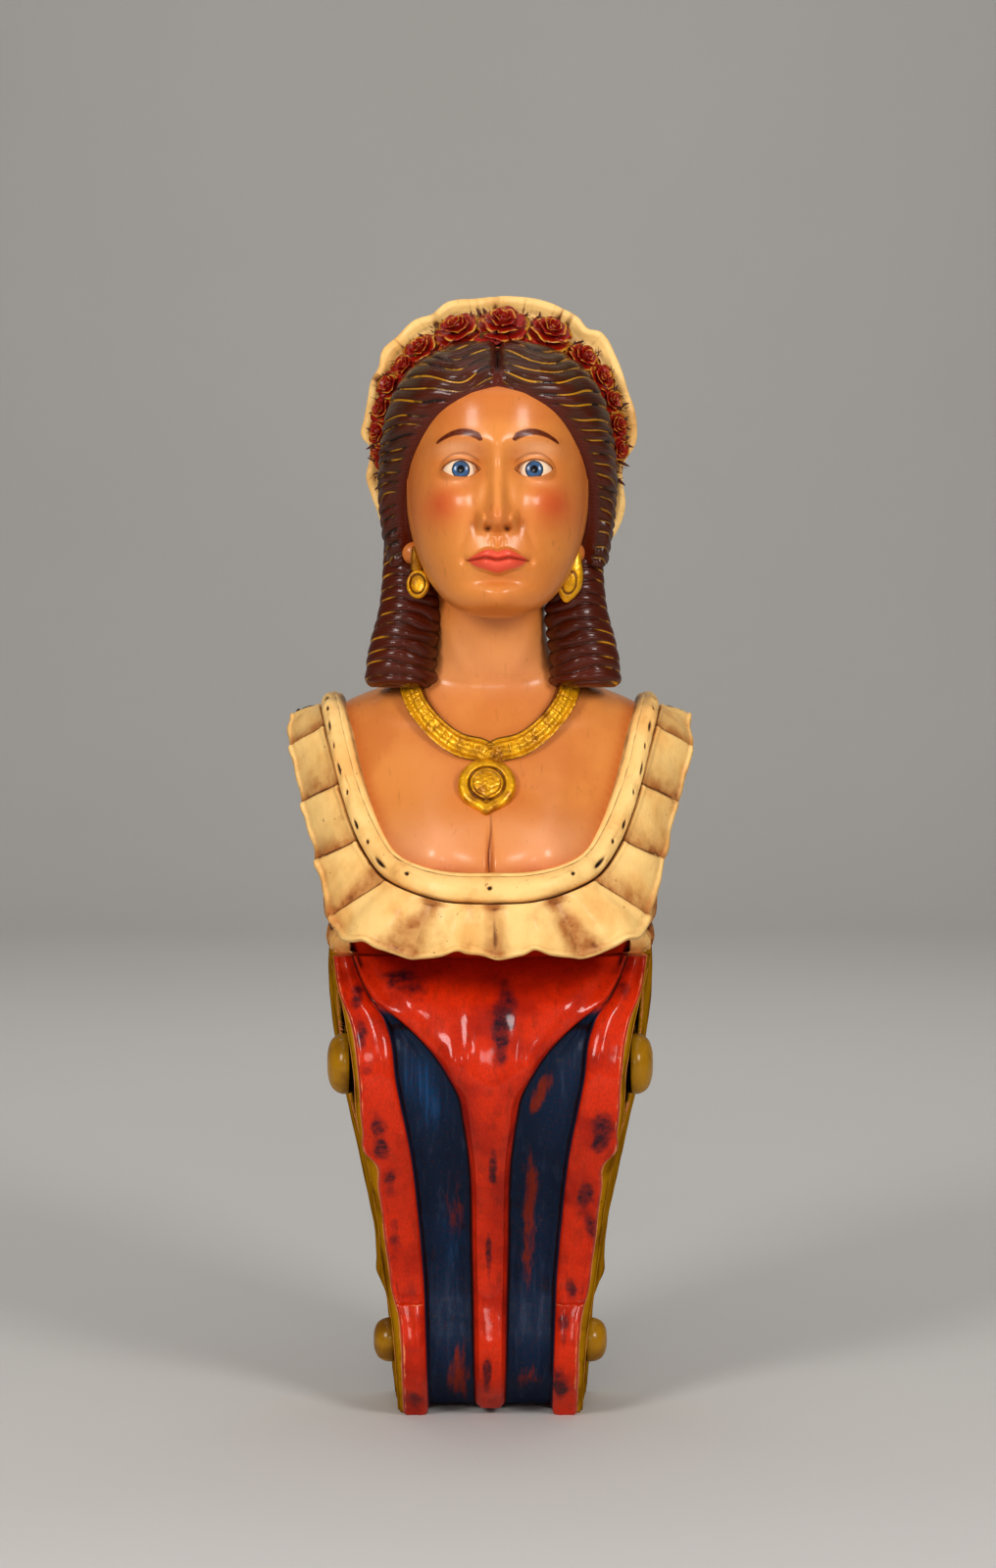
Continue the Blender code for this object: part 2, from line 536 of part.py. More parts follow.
def back_plane():
    """A block behind the plane Y = 0 that planes the figure's back flat."""
    sculpted = bmesh.new()
    bmesh.ops.create_cube(sculpted, size=1.0)
    bmesh.ops.transform(sculpted, matrix=Matrix.Translation((0, 0.25, 0)) @ Matrix.Diagonal((1, 0.5, 1.5, 1)),
                        verts=sculpted.verts)
    mesh = bpy.data.meshes.new("back_plane")
    sculpted.to_mesh(mesh)
    sculpted.free()
    block = bpy.data.objects.new("back_plane", mesh)
    bpy.context.scene.collection.objects.link(block)
    return block


def painted(obj):
    material = bpy.data.materials.new("painted_wood")
    material.use_nodes = True
    shader = material.node_tree.nodes["Principled BSDF"]
    shader.inputs["Base Color"].default_value = WOOD
    shader.inputs["Roughness"].default_value = 0.35
    shader.inputs["Metallic"].default_value = 0.0
    obj.data.materials.clear()
    obj.data.materials.append(material)


def main():
    for obj in list(bpy.data.objects):
        bpy.data.objects.remove(obj)
    figure = console()
    figure.name = "figurehead"
    carvings = [torso(), collar(), necklace(), pendant(), head(), front_hair(), cap()]
    for side in (-1, 1):
        carvings += [side_gathers(side), hair_lock(side), *ear_and_drop(side)]
    carvings += [rose(number) for number in range(len(ROSE_ANGLES))]
    cuts = [scroll_groove(place, side) for place in GROOVES for side in (-1, 1)]
    boolean(figure, "sink the spirals", "DIFFERENCE", gathered("spirals", cuts))
    boolean(figure, "join the carving", "UNION", gathered("carvings", carvings + scroll_eyes()))
    boolean(figure, "plane the back", "DIFFERENCE", gathered("plane", [back_plane()]))
    painted(figure)


main()
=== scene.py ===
"""A ship figurehead: a garlanded lady's bust on a scrolled console, in varnished paint over carved wood.

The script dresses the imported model. Every piece is a closed surface worked out with numpy on a grid, in
carver's coordinates: x to the side, f forward from the flat back and h up from the foot, in metres.
"""

import math

import bpy
import numpy as np
from bpy.props import FloatProperty, FloatVectorProperty, IntProperty, PointerProperty
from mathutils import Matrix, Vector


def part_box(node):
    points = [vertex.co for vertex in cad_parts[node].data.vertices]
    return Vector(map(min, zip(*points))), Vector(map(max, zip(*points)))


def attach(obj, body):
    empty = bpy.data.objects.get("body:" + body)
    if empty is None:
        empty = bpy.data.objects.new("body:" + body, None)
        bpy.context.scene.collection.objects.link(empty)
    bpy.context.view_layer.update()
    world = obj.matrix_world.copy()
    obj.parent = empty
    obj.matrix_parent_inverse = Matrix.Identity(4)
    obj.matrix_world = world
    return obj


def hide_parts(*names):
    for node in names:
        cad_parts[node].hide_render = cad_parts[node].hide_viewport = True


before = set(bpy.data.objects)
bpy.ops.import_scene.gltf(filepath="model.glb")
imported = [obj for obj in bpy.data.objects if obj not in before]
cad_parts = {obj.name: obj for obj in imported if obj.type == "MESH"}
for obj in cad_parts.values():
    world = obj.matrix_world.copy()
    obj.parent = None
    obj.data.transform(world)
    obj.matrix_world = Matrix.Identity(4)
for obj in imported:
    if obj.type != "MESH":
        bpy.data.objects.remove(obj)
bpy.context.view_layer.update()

bl_info = {
    "name": "Painted Figurehead",
    "version": (1, 0, 0),
    "blender": (4, 5, 0),
    "location": "View3D > Sidebar > Figurehead",
    "description": "Carves and paints a lady figurehead on a scrolled console",
    "category": "Add Mesh",
}

FIGURE = "figurehead"
LOWEST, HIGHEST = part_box(FIGURE)
MOUNT_HEIGHT = -LOWEST[2]  # the origin's height above the foot
SIDES = (-1, 1)
FORWARD = np.array([0, 1, 0])
MARGIN = 0.0004  # kept free inside the part's own box


def tint(red, green, blue):
    """A scene-linear colour from everyday red, green and blue out of 255."""
    share = np.array([red, green, blue]) / 255
    linear = np.where(share > 0.04045, ((share + 0.055) / 1.055) ** 2.4, share / 12.92)
    return (*linear.tolist(), 1.0)


# ---------------------------------------------------------------- what a user would change

def colour(name, description, *rgb):
    """A paint that a user can change, given as everyday red, green and blue out of 255."""
    return FloatVectorProperty(name=name, description=description, subtype="COLOR", size=4, min=0, max=1,
                               default=tint(*rgb))


def length(name, description, default):
    """A length that a user can change, in metres."""
    return FloatProperty(name=name, description=description, default=default, min=0, soft_max=1,
                         unit="LENGTH", precision=4)


class FigureheadSizes(bpy.types.PropertyGroup):
    """Sizes of the carving's detail."""

    console_top: length("Console top", "Height of the scrolled console above its foot", 0.318)
    channel_depth: length("Channel depth", "How deep the channels between rib and bands are cut", 0.01)
    step_depth: length("Ridge step", "How far the lower scroll stands proud of the bands above it", 0.0025)
    head_tilt: FloatProperty(name="Head tilt", description="How far the crown leans back",
                             default=math.radians(6), subtype="ANGLE")
    wave_pitch: length("Hair wave pitch", "Distance from one wave of the hair to the next", 0.0076)
    wave_depth: length("Hair wave depth", "How deep the waves of the hair are carved", 0.0021)
    lock_pitch: length("Lock rib pitch", "Distance from one rib of a hair lock to the next", 0.0083)
    pleat_depth: length("Pleat depth", "Step at the hem from one pleat of the frill to the next", 0.0072)
    flute_depth: length("Flute depth", "Depth of the soft folds of the frill across the chest", 0.0054)
    plate_pitch: length("Necklace plate", "Length of one engraved plate of the necklace", 0.0062)
    petal_edge: length("Petal thickness", "Thickness of a rose petal", 0.0007)
    sprigs: IntProperty(name="Sprigs", description="Leaf sprigs tucked between two roses", default=3, min=0)


class FigureheadPaints(bpy.types.PropertyGroup):
    """Colours of the paints."""

    skin: colour("Skin", "Flesh paint", 219, 140, 71)
    # Also the painted shade round the face's features, on the chest and neck, and at the eyes' corners.
    skin_shade: colour("Skin shade", "Deeper flesh paint in its patches", 194, 108, 48)
    # On the torso it is also a painted highlight on the bosom and the neck.
    skin_light: colour("Skin light", "Pale flesh paint on the lids", 246, 186, 140)
    blush: colour("Blush", "Cheeks", 205, 78, 44)
    lips: colour("Lips", "Lip paint", 222, 88, 62)
    brow: colour("Brow", "Painted eyebrows", 90, 29, 9)
    eye_white: colour("Eye white", "Paint of the eyeball", 240, 214, 184)
    iris: colour("Iris", "Paint of the iris", 62, 104, 146)
    hair: colour("Hair", "Dark brown hair", 70, 33, 15)
    # Grey dusting and a painted highlight on the hair's ridges near the top, and grey specks on the navy.
    grey_dust_and_sheen: colour("Hair highlight", "Greyed ridges of the hair", 104, 88, 64)
    hair_gold: colour("Hair gold", "Gold lines between the waves", 196, 138, 30)
    rose: colour("Rose", "Petals", 150, 26, 12)
    rose_gold: colour("Rose gold", "Gilt edges of the petals", 206, 148, 48)
    leaf: colour("Leaf", "Leaves and sprigs", 66, 38, 22)
    cream: colour("Cream", "Cap and frill", 248, 205, 133)
    cream_shade: colour("Cream shade", "Deeper cream in its patches", 236, 178, 104)
    # Also painted shade in the folds: behind each pleat's drop, in the frill's pockets and deep in the cap.
    stain_and_shade: colour("Stain", "Thin brown glaze in the folds of the cloth", 162, 88, 34)
    wash: colour("Wash", "Brown wash that lies in the hollows", 86, 34, 12)
    gilt: colour("Gilt", "Gold paint of the jewellery", 232, 170, 24)
    gilt_shade: colour("Gilt shade", "Aged gold paint", 150, 88, 8)
    red: colour("Red", "Dress and bands", 208, 50, 8)
    red_shade: colour("Red shade", "Deeper red in its patches", 146, 20, 4)
    worn: colour("Worn edge", "Undercoat that shows on worn edges", 226, 142, 96)
    rust: colour("Rust", "Red dragged dry over the navy", 146, 48, 16)
    smudge: colour("Smudge", "Near-black navy wiped over the red", 16, 16, 34)
    navy: colour("Navy", "Channels", 20, 42, 66)
    bright_blue: colour("Bright blue", "Dry-brushed blue on the navy", 24, 86, 134)
    navy_light: colour("Navy light", "Rubbed navy", 62, 74, 96)
    ochre: colour("Ochre", "Sides of the console", 178, 128, 20)
    ochre_shade: colour("Ochre shade", "Deeper ochre in its patches", 118, 74, 10)
    board: colour("Board", "Bare wood of the flat back", 150, 104, 64)
    backdrop: colour("Backdrop", "Floor and backdrop", 214, 212, 208)


# ---------------------------------------------------------------- curves

def through(stations, at):
    """A smooth curve through stations, rows of (parameter, values...), read at the parameters in at.

    Between two stations it is the cubic that has the curve's own slope at both.
    """
    table = np.asarray(stations, float)
    knots, values = table[:, 0], table[:, 1:]
    step = np.diff(knots)[:, None]
    rise = np.diff(values, axis=0) / step
    middle = (rise[:-1] * step[1:] + rise[1:] * step[:-1]) / (step[1:] + step[:-1])
    slope = np.vstack([rise[:1], middle, rise[-1:]])
    at = np.asarray(at, float)
    k = np.clip(np.searchsorted(knots, at) - 1, 0, len(knots) - 2)
    t = ((at - knots[k]) / step[k, 0])[..., None]
    start = values[k] * (1 + 2 * t) * (1 - t) ** 2 + slope[k] * step[k] * t * (1 - t) ** 2
    end = values[k + 1] * t * t * (3 - 2 * t) + slope[k + 1] * step[k] * t * t * (t - 1)
    out = start + end
    return out[..., 0] if out.shape[-1] == 1 else out


def eased(low, high, value):
    """0 below low, 1 above high, and a smooth step between them."""
    t = np.clip((value - low) / (high - low), 0, 1)
    return t * t * (3 - 2 * t)


def bump(offset, width):
    """A bell curve of height 1."""
    return np.exp(-((offset / width) ** 2))


def bells(across, up, *rows):
    """A sum of bells over a surface: rows of height, place and width across, and place and
    width up, in mm."""
    return sum(height * bump(across - x / 1000, wide / 1000) * bump(up - h / 1000, tall / 1000)
               for height, x, wide, h, tall in rows)


def millimetres(*rows):
    """Rows of a share or an angle and then lengths in millimetres, with those lengths turned into metres."""
    return [(first, *(value / 1000 for value in rest)) for first, *rest in rows]


def joined(x, f, h):
    """Points from their three coordinates, spread against each other."""
    return np.stack(np.broadcast_arrays(x, f, h), axis=-1)


def beside(*grids):
    """Grids of the same height, side by side."""
    return np.concatenate(grids, axis=1)


def ridge(phase, sharp):
    """Rounded ridges, one for each whole number of phase, with a sharp valley at the whole numbers."""
    return abs(np.sin(math.pi * phase)) ** sharp


def unit(vector):
    """Each vector divided by its own length."""
    return vector / np.maximum(np.linalg.norm(vector, axis=-1, keepdims=True), 1e-12)


def ripple(points, scale, seed=0):
    """A soft repeatable unevenness, -1 to 1: three sines of the place, each across the others."""
    x, f, h = np.moveaxis(points * scale, -1, 0)
    total = np.sin(x * 1.7 + 2.3 * np.sin(f * 1.1 + h * 0.6 + seed) + seed)
    total = total + np.sin(f * 1.9 + 1.9 * np.sin(h * 1.3 + x * 0.7 + 2 * seed) + 1.7)
    total = total + np.sin(h * 1.5 + 2.1 * np.sin(x * 0.9 + f * 1.4 + 3 * seed) + 4.1)
    return total / 3


def placed(points):
    """Carver's coordinates (x, f, h) in the part's own frame."""
    return np.stack([points[..., 0], -points[..., 1], points[..., 2] - MOUNT_HEIGHT], axis=-1)


def nearness(points, line, width):
    """1 on a line of points, falling off as a bell curve of the distance to its nearest point."""
    flat = points.reshape(-1, 3)
    gap = np.full(len(flat), np.inf)
    for part in np.array_split(line, max(1, len(line) // 20)):
        gap = np.minimum(gap, np.linalg.norm(flat[:, None] - part[None], axis=2).min(axis=1))
    return bump(gap, width).reshape(points.shape[:-1])


# ---------------------------------------------------------------- surfaces

def spread(grid, steps, around):
    """The grid after steps rounds in which each point becomes the mean of itself, twice, and its
    neighbours."""
    rest = ((0, 0),) * (grid.ndim - 2)
    for _ in range(steps):
        wide = np.pad(grid, ((0, 0), (1, 1)) + rest, mode="wrap" if around else "edge")
        tall = np.pad(grid, ((1, 1), (0, 0)) + rest, mode="edge")
        grid = (2 * grid + wide[:, 2:] + wide[:, :-2] + tall[2:] + tall[:-2]) / 6
    return grid


def facing(points, around=True):
    """Unit normals of a grid: the cross product of the steps across it and along it."""
    across = (np.roll(points, -1, 1) - np.roll(points, 1, 1)) if around else np.gradient(points, axis=1)
    return unit(np.cross(across, np.gradient(points, axis=0)))


def enclosed(points):
    """Six times the volume inside a grid of rings, from its quads' corners. Below 0 the grid
    is inside out."""
    after = np.roll(points, -1, axis=1)
    a, b, c, d = points[:-1], after[:-1], after[1:], points[1:]
    return float((a * np.cross(b, c)).sum() + (a * np.cross(c, d)).sum())


def grid_faces(rows, columns, first):
    """The quads of a grid of rings, and the two rings that its ends leave open."""
    start = first + np.arange(rows - 1)[:, None] * columns + np.arange(columns)[None]
    after = first + np.arange(rows - 1)[:, None] * columns + (np.arange(columns)[None] + 1) % columns
    quads = np.stack([start, after, after + columns, start + columns], axis=-1).reshape(-1, 4)
    ends = np.arange(columns) + first, np.arange(columns) + first + (rows - 1) * columns
    return quads.tolist(), [ends[0][::-1].tolist(), ends[1].tolist()]


def hollows(points, scale, steps=5):
    """How deep each point lies in a hollow and how far it stands on a crest, both 0 to 1.

    It is the distance, along the normal, from the point to the average of the surface round it.
    """
    depth = ((spread(points, steps, True) - points) * facing(points)).sum(-1)
    depth *= np.sign(enclosed(points)) / scale
    return np.clip(depth, 0, 1), np.clip(-depth, 0, 1)


def shell(name, grids, marks, sharp=None):
    """A mesh object from closed grids of rings, each rows x columns x 3, with its marks as attributes.

    Each grid wraps round across its columns, and a flat face closes it at each end. marks maps a name to
    one array for each grid, rows x columns, or rows x columns x 3 for a place to read a pattern at.
    """
    grids = grids if isinstance(grids, list) else [grids]
    points, faces = [], []
    for grid in grids:
        quads, ends = grid_faces(*grid.shape[:2], sum(len(p) for p in points))
        inside_out = enclosed(grid) < 0
        faces += [face[::-1] for face in quads + ends] if inside_out else quads + ends
        points.append(grid.reshape(-1, 3))
    mesh = bpy.data.meshes.new(name)
    mesh.from_pydata(placed(np.concatenate(points)).tolist(), [], faces)
    for label, values in marks.items():
        values = values if isinstance(values, list) else [values]
        vector = values[0].ndim == 3
        layer = mesh.attributes.new(label, "FLOAT_VECTOR" if vector else "FLOAT", "POINT")
        flat = np.concatenate([value.reshape(-1) for value in values]).astype(np.float32)
        layer.data.foreach_set("vector" if vector else "value", flat)
    mesh.shade_smooth()
    if sharp:
        mesh.set_sharp_from_angle(angle=math.radians(sharp))
    piece = bpy.data.objects.new(name, mesh)
    bpy.context.scene.collection.objects.link(piece)
    return piece


def carry(piece, material):
    """Rides the piece on the figure's one body and gives it its finish."""
    piece.data.materials.append(material)
    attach(piece, "root")


def sweep(path, half_wide, half_deep, sides, across=(1.0, 0.0, 0.0)):
    """Rings of an oval tube: at each point of the path, a turn of half_wide across and half_deep up."""
    along = unit(np.gradient(path, axis=0))
    wide = np.broadcast_to(np.asarray(across, float), path.shape)
    wide = unit(wide - along * (wide * along).sum(1)[:, None])
    deep = np.cross(along, wide)
    turn = np.linspace(0, 2 * math.pi, sides, endpoint=False)
    half_wide, half_deep = (np.broadcast_to(half, len(path))[:, None] for half in (half_wide, half_deep))
    a, b = half_wide * np.cos(turn), half_deep * np.sin(turn)
    return path[:, None] + a[..., None] * wide[:, None] + b[..., None] * deep[:, None]


def turned(centre, axis, profile, sides, reach=None):
    """Rings of a turned shape: profile is rows of (radius, height along the axis), rounded
    through its points."""
    axis = unit(np.asarray(axis, float))
    side = unit(np.cross(axis, (0.02, 0.05, 1.0)))
    up = np.cross(side, axis)
    turn = np.linspace(0, 2 * math.pi, sides, endpoint=False)[None, :, None]
    spoke = np.cos(turn) * side + np.sin(turn) * up
    radius, lift = np.asarray(profile, float).T[:, :, None, None]
    stretch = 1 if reach is None else reach(turn)
    return np.asarray(centre, float) + radius * stretch * spoke + lift * axis


def rounded(profile, count):
    """count points on the smooth curve through a profile, evenly spread along its length."""
    profile = np.asarray(profile, float)
    run = np.concatenate([[0], np.cumsum(np.linalg.norm(np.diff(profile, axis=0), axis=1))])
    return through(np.column_stack([run, profile]), np.linspace(0, run[-1], count))


# ---------------------------------------------------------------- paints

class Shade:
    """A number inside a material. Python's sums on it add Math nodes."""

    def __init__(self, paint, socket):
        self.paint, self.socket = paint, socket

    def math(self, operation, *others, before=False):
        """The result of a Math node on this number and the others, which may come before it."""
        values = [*others, self] if before else [self, *others]
        made = self.paint.node("ShaderNodeMath", {"operation": operation}, values)
        return Shade(self.paint, made.outputs[0])

    def __add__(self, other):
        return self.math("ADD", other)

    def __sub__(self, other):
        return self.math("SUBTRACT", other)

    def __rsub__(self, other):
        return self.math("SUBTRACT", other, before=True)

    def __mul__(self, other):
        return self.math("MULTIPLY", other)

    __radd__, __rmul__ = __add__, __mul__

    def step(self, low, high):
        """0 below low, 1 above high, and a smooth step between. High may be below low."""
        made = self.paint.node("ShaderNodeMapRange", {"interpolation_type": "SMOOTHSTEP"}, [self, low, high])
        return Shade(self.paint, made.outputs[0])

    def most(self, other):
        """The larger of the two numbers."""
        return self.math("MAXIMUM", other)


class Paint:
    """A material under construction: one Principled shader and the nodes that feed it."""

    def __init__(self, name, roughness=0.35, coat=0.3, metallic=0.0):
        self.material = bpy.data.materials.new(name)
        self.material.use_nodes = True
        self.tree = self.material.node_tree
        self.shader = self.tree.nodes["Principled BSDF"]
        self.place = self.node("ShaderNodeTexCoord").outputs["Object"]
        self.heights = []
        for socket, value in {"Roughness": roughness, "Coat Weight": coat, "Coat Roughness": 0.22,
                              "Metallic": metallic, "Specular IOR Level": 0.22}.items():
            self.shader.inputs[socket].default_value = value

    def node(self, kind, settings=None, values=()):
        """A node of this kind, its settings made first, then its sockets' values or links, by
        order or by name."""
        made = self.tree.nodes.new(kind)
        made.location = (-220 * (1 + len(self.tree.nodes) % 9), -260 * (len(self.tree.nodes) // 9))
        for key, value in (settings or {}).items():
            setattr(made, key, value)
        for key, value in values.items() if isinstance(values, dict) else enumerate(values):
            source = value.socket if isinstance(value, Shade) else value
            if isinstance(source, bpy.types.NodeSocket):
                self.tree.links.new(source, made.inputs[key])
            elif source is not None:
                made.inputs[key].default_value = source
        return made

    def mark(self, name):
        """The number that the carving left at each point under this name."""
        return Shade(self, self.node("ShaderNodeAttribute", {"attribute_name": name}).outputs["Fac"])

    def marked_place(self, name):
        """The place that the carving left at each point under this name."""
        return self.node("ShaderNodeAttribute", {"attribute_name": name}).outputs["Vector"]

    def stretched(self, scale, place=None):
        """The place times a scale along each axis, for a pattern that runs along one of them."""
        return self.node("ShaderNodeVectorMath", {"operation": "MULTIPLY"},
                         [place or self.place, scale]).outputs[0]

    def noise(self, scale, detail, place=None, roughness=0.55, twist=0.0):
        """Cloudy noise, 0 to 1, with scale clouds to a metre."""
        values = {"Vector": place or self.place, "Scale": scale, "Detail": detail, "Roughness": roughness,
                  "Distortion": twist}
        return Shade(self, self.node("ShaderNodeTexNoise", None, values).outputs[0])

    def cracks(self, scale, place):
        """Distance to the nearest edge between scattered cells, small along the cracks."""
        values = {"Vector": place, "Scale": scale}
        made = self.node("ShaderNodeTexVoronoi", {"feature": "DISTANCE_TO_EDGE"}, values)
        return Shade(self, made.outputs[0])

    def mix(self, factor, below, above):
        """The colour below, covered by the colour above as far as factor."""
        return self.node("ShaderNodeMix", {"data_type": "RGBA"}, {0: factor, 6: below, 7: above}).outputs[2]

    def raised(self, height, strength, distance):
        """Adds a bump of this height, in metres times distance, on top of those before it."""
        self.heights.append((height, strength, distance))

    def done(self, base, roughness=None, coat=None):
        """Links the colour, the roughness, the coat and the bumps to the shader, and gives the material."""
        self.tree.links.new(base, self.shader.inputs["Base Color"])
        for socket, shade in {"Roughness": roughness, "Coat Weight": coat}.items():
            if shade is not None:
                self.tree.links.new(shade.socket, self.shader.inputs[socket])
        normal = None
        for height, strength, distance in self.heights:
            values = {"Strength": strength, "Distance": distance, "Height": height}
            if normal:
                values["Normal"] = normal
            normal = self.node("ShaderNodeBump", None, values).outputs[0]
        if normal:
            self.tree.links.new(normal, self.shader.inputs["Normal"])
        return self.material

    # The ways in which every paint of the figure has aged.

    def patchy(self, base, deeper, scale, amount):
        """Broad soft patches of a deeper colour, as hand paint dries."""
        return self.mix(self.noise(scale, 5.0).step(0.42, 0.7) * amount, base, deeper)

    def washed(self, base, wash, low, high, amount):
        """A thin brown wash that has run into the hollows and dried there in blots."""
        blots = self.noise(75.0, 5.0)
        return self.mix((self.mark("hollow") * (0.45 + blots)).step(low, high) * amount, base, wash)

    def rubbed(self, base, bare, low, high, amount):
        """Paint rubbed through on the crests, in broken lines."""
        return self.mix((self.mark("crest") * self.noise(130.0, 4.0)).step(low * 0.6, high * 0.6) * amount,
                        base, bare)

    def brushed(self, scale, strength):
        """Brush marks and a little orange peel in the varnish."""
        self.raised(self.noise(3.0, 3.0, self.stretched(scale)), strength, 0.0012)
        self.raised(self.noise(420.0, 2.0), 0.1, 0.0005)


def bare_board(paint, base, paints):
    """Where the piece is planed flat for the wall, the paint stops at bare wood with straight grain."""
    fibres = paint.noise(5.0, 5.0, paint.stretched((30.0, 30.0, 2.0)))
    wood = paint.mix(fibres.step(0.35, 0.7), paints.board, paints.wash)
    depth = Shade(paint, paint.node("ShaderNodeSeparateXYZ", None, [paint.place]).outputs[1])
    return paint.mix((depth + paint.noise(90.0, 3.0) * 0.002).step(-0.0026, -0.0012), base, wood)


def skin_paint(paints):
    """Glossy flesh paint with blush, painted shade, coral lips, painted brows, pale lids, a painted highlight
    on the bosom and the neck, and a red bodice below the band.
    """
    paint = Paint("skin_paint", 0.42, 0.36)
    paint.shader.inputs["Coat Roughness"].default_value = 0.2
    base = paint.patchy(paints.skin, paints.skin_shade, 16.0, 0.55)
    # Painted shade: round the features, on the face's sides, under the jaw, on the forehead, beside the
    # necklace, band and pendant, and on the ear lobes.
    base = paint.mix(paint.mark("shade") * (0.55 + paint.noise(40.0, 4.0)), base, paints.skin_shade)
    base = paint.mix(paint.mark("blush") * (0.35 + 0.6 * paint.noise(30.0, 3.0)), base, paints.blush)
    # Pale paint on the lids, and a painted highlight on the bosom and the neck.
    base = paint.mix(paint.mark("pale"), base, paints.skin_light)
    base = paint.washed(base, paints.wash, 0.16, 0.9, 0.8)
    scratches = paint.noise(4.0, 6.0, paint.stretched((90.0, 30.0, 22.0)), twist=0.6)
    base = paint.mix(scratches.step(0.6, 0.72) * 0.16, base, paints.wash)
    base = paint.mix(paint.mark("lips"), base, paints.lips)
    base = paint.mix(paint.mark("line"), base, paints.wash)
    base = paint.mix(paint.mark("brow") * (0.75 + 0.4 * paint.noise(300.0, 3.0)), base, paints.brow)
    base = paint.mix(paint.mark("bodice"), base, paints.red)
    base = bare_board(paint, base, paints)
    paint.brushed((50.0, 50.0, 80.0), 0.16)
    return paint.done(base, 0.36 + 0.16 * paint.noise(60.0, 3.0))


# The darkest paints, scene-linear.
PUPIL = (0.004, 0.004, 0.006, 1.0)
# Painted shade between the hair's waves and in its parting.
SHADE_BETWEEN_WAVES = (0.006, 0.003, 0.002, 1.0)
# Painted shadow inside the band's eyelets.
EYELET_SHADOW = (0.012, 0.006, 0.003, 1.0)
RED_WASH = (0.016, 0.004, 0.003, 1.0)
OCHRE_WASH = (0.01, 0.006, 0.003, 1.0)
SUNK = (0.008, 0.005, 0.003, 1.0)


def eye_paint(paints):
    """A blue iris with a dark rim and pupil on warm white, under a hard gloss."""
    paint = Paint("eye_paint", 0.12, 0.8)
    gaze = paint.mark("gaze")
    iris = paint.mix(paint.noise(420.0, 4.0).step(0.35, 0.7), paints.iris, paints.navy_light)
    # The white deepens to flesh towards the eye's corners: painted shade under the lids.
    base = paint.mix(gaze.step(0.26, 0.75) * 0.55, paints.eye_white, paints.skin_shade)
    base = paint.mix(gaze.step(0.15, 0.14), base, paints.navy)
    base = paint.mix(gaze.step(0.134, 0.122), base, iris)
    base = paint.mix(gaze.step(0.062, 0.054), base, PUPIL)
    return paint.done(base)


def hair_paint(paints):
    """Dark brown waves, greyed on their ridges near the top with a grey dusting and a painted highlight, with
    painted shade between the waves and in the parting, and gold and fine strands drawn along them.
    """
    paint = Paint("hair_paint", 0.32, 0.42)
    paint.shader.inputs["Coat Roughness"].default_value = 0.15
    wave, lined = paint.mark("wave"), paint.mark("lined")
    phase = wave.math("FRACT")
    away = (phase - 0.5).math("ABSOLUTE") * 2  # 0 on a ridge, 1 in a valley
    strands = (wave * 26.0 + 1.4 * paint.noise(60.0, 2.0)).math("SINE")
    base = paint.mix(lined, paints.brow, paints.hair)
    base = paint.mix(paint.noise(34.0, 4.0).step(0.4, 0.7) * 0.8, base, paints.brow)
    # A grey dusting and a painted highlight on the ridges, near the top of the hair.
    dust_and_sheen = away.step(0.85, 0.25) * paint.noise(38.0, 4.0).step(0.4, 0.62)
    base = paint.mix(dust_and_sheen * 0.75 * paint.mark("dusty_and_lit"), base, paints.grey_dust_and_sheen)
    # Painted shade, near black, between the waves and along the parting.
    valleys = (away.step(0.7, 0.9) * 0.85 * lined).most(paint.mark("parting") * 0.85)
    base = paint.mix(valleys, base, SHADE_BETWEEN_WAVES)
    gold = away.step(0.8, 0.92) * paint.noise(48.0, 3.0).step(0.4, 0.54)
    base = paint.mix(gold * paint.mark("golden"), base, paints.hair_gold)
    base = bare_board(paint, base, paints)
    paint.raised(strands, 0.25, 0.0005)
    return paint.done(base, 0.24 + 0.2 * paint.noise(90.0, 3.0), 0.42 - 0.4 * paint.mark("parting"))


def garland_paint(paints):
    """Dark red petals with gilt edges, with painted shade, brown, in their hearts."""
    paint = Paint("garland_paint", 0.34, 0.4)
    base = paint.patchy(paints.rose, paints.red_shade, 140.0, 0.8)
    # Painted shade deep between the petals, at each petal's root and in the bud and cup.
    base = paint.mix(paint.mark("heart").step(0.2, 1.0) * 0.85, base, paints.wash)
    gilt = paint.mark("rim").step(0.62, 0.92) * paint.noise(170.0, 4.0).step(0.42, 0.6)
    base = paint.mix(gilt, base, paints.rose_gold)
    base = paint.mix(paint.mark("green"), base, paint.mix(gilt, paints.leaf, paints.wash))
    paint.brushed((120.0, 120.0, 120.0), 0.3)
    return paint.done(base, 0.26 + 0.2 * paint.noise(120.0, 3.0))


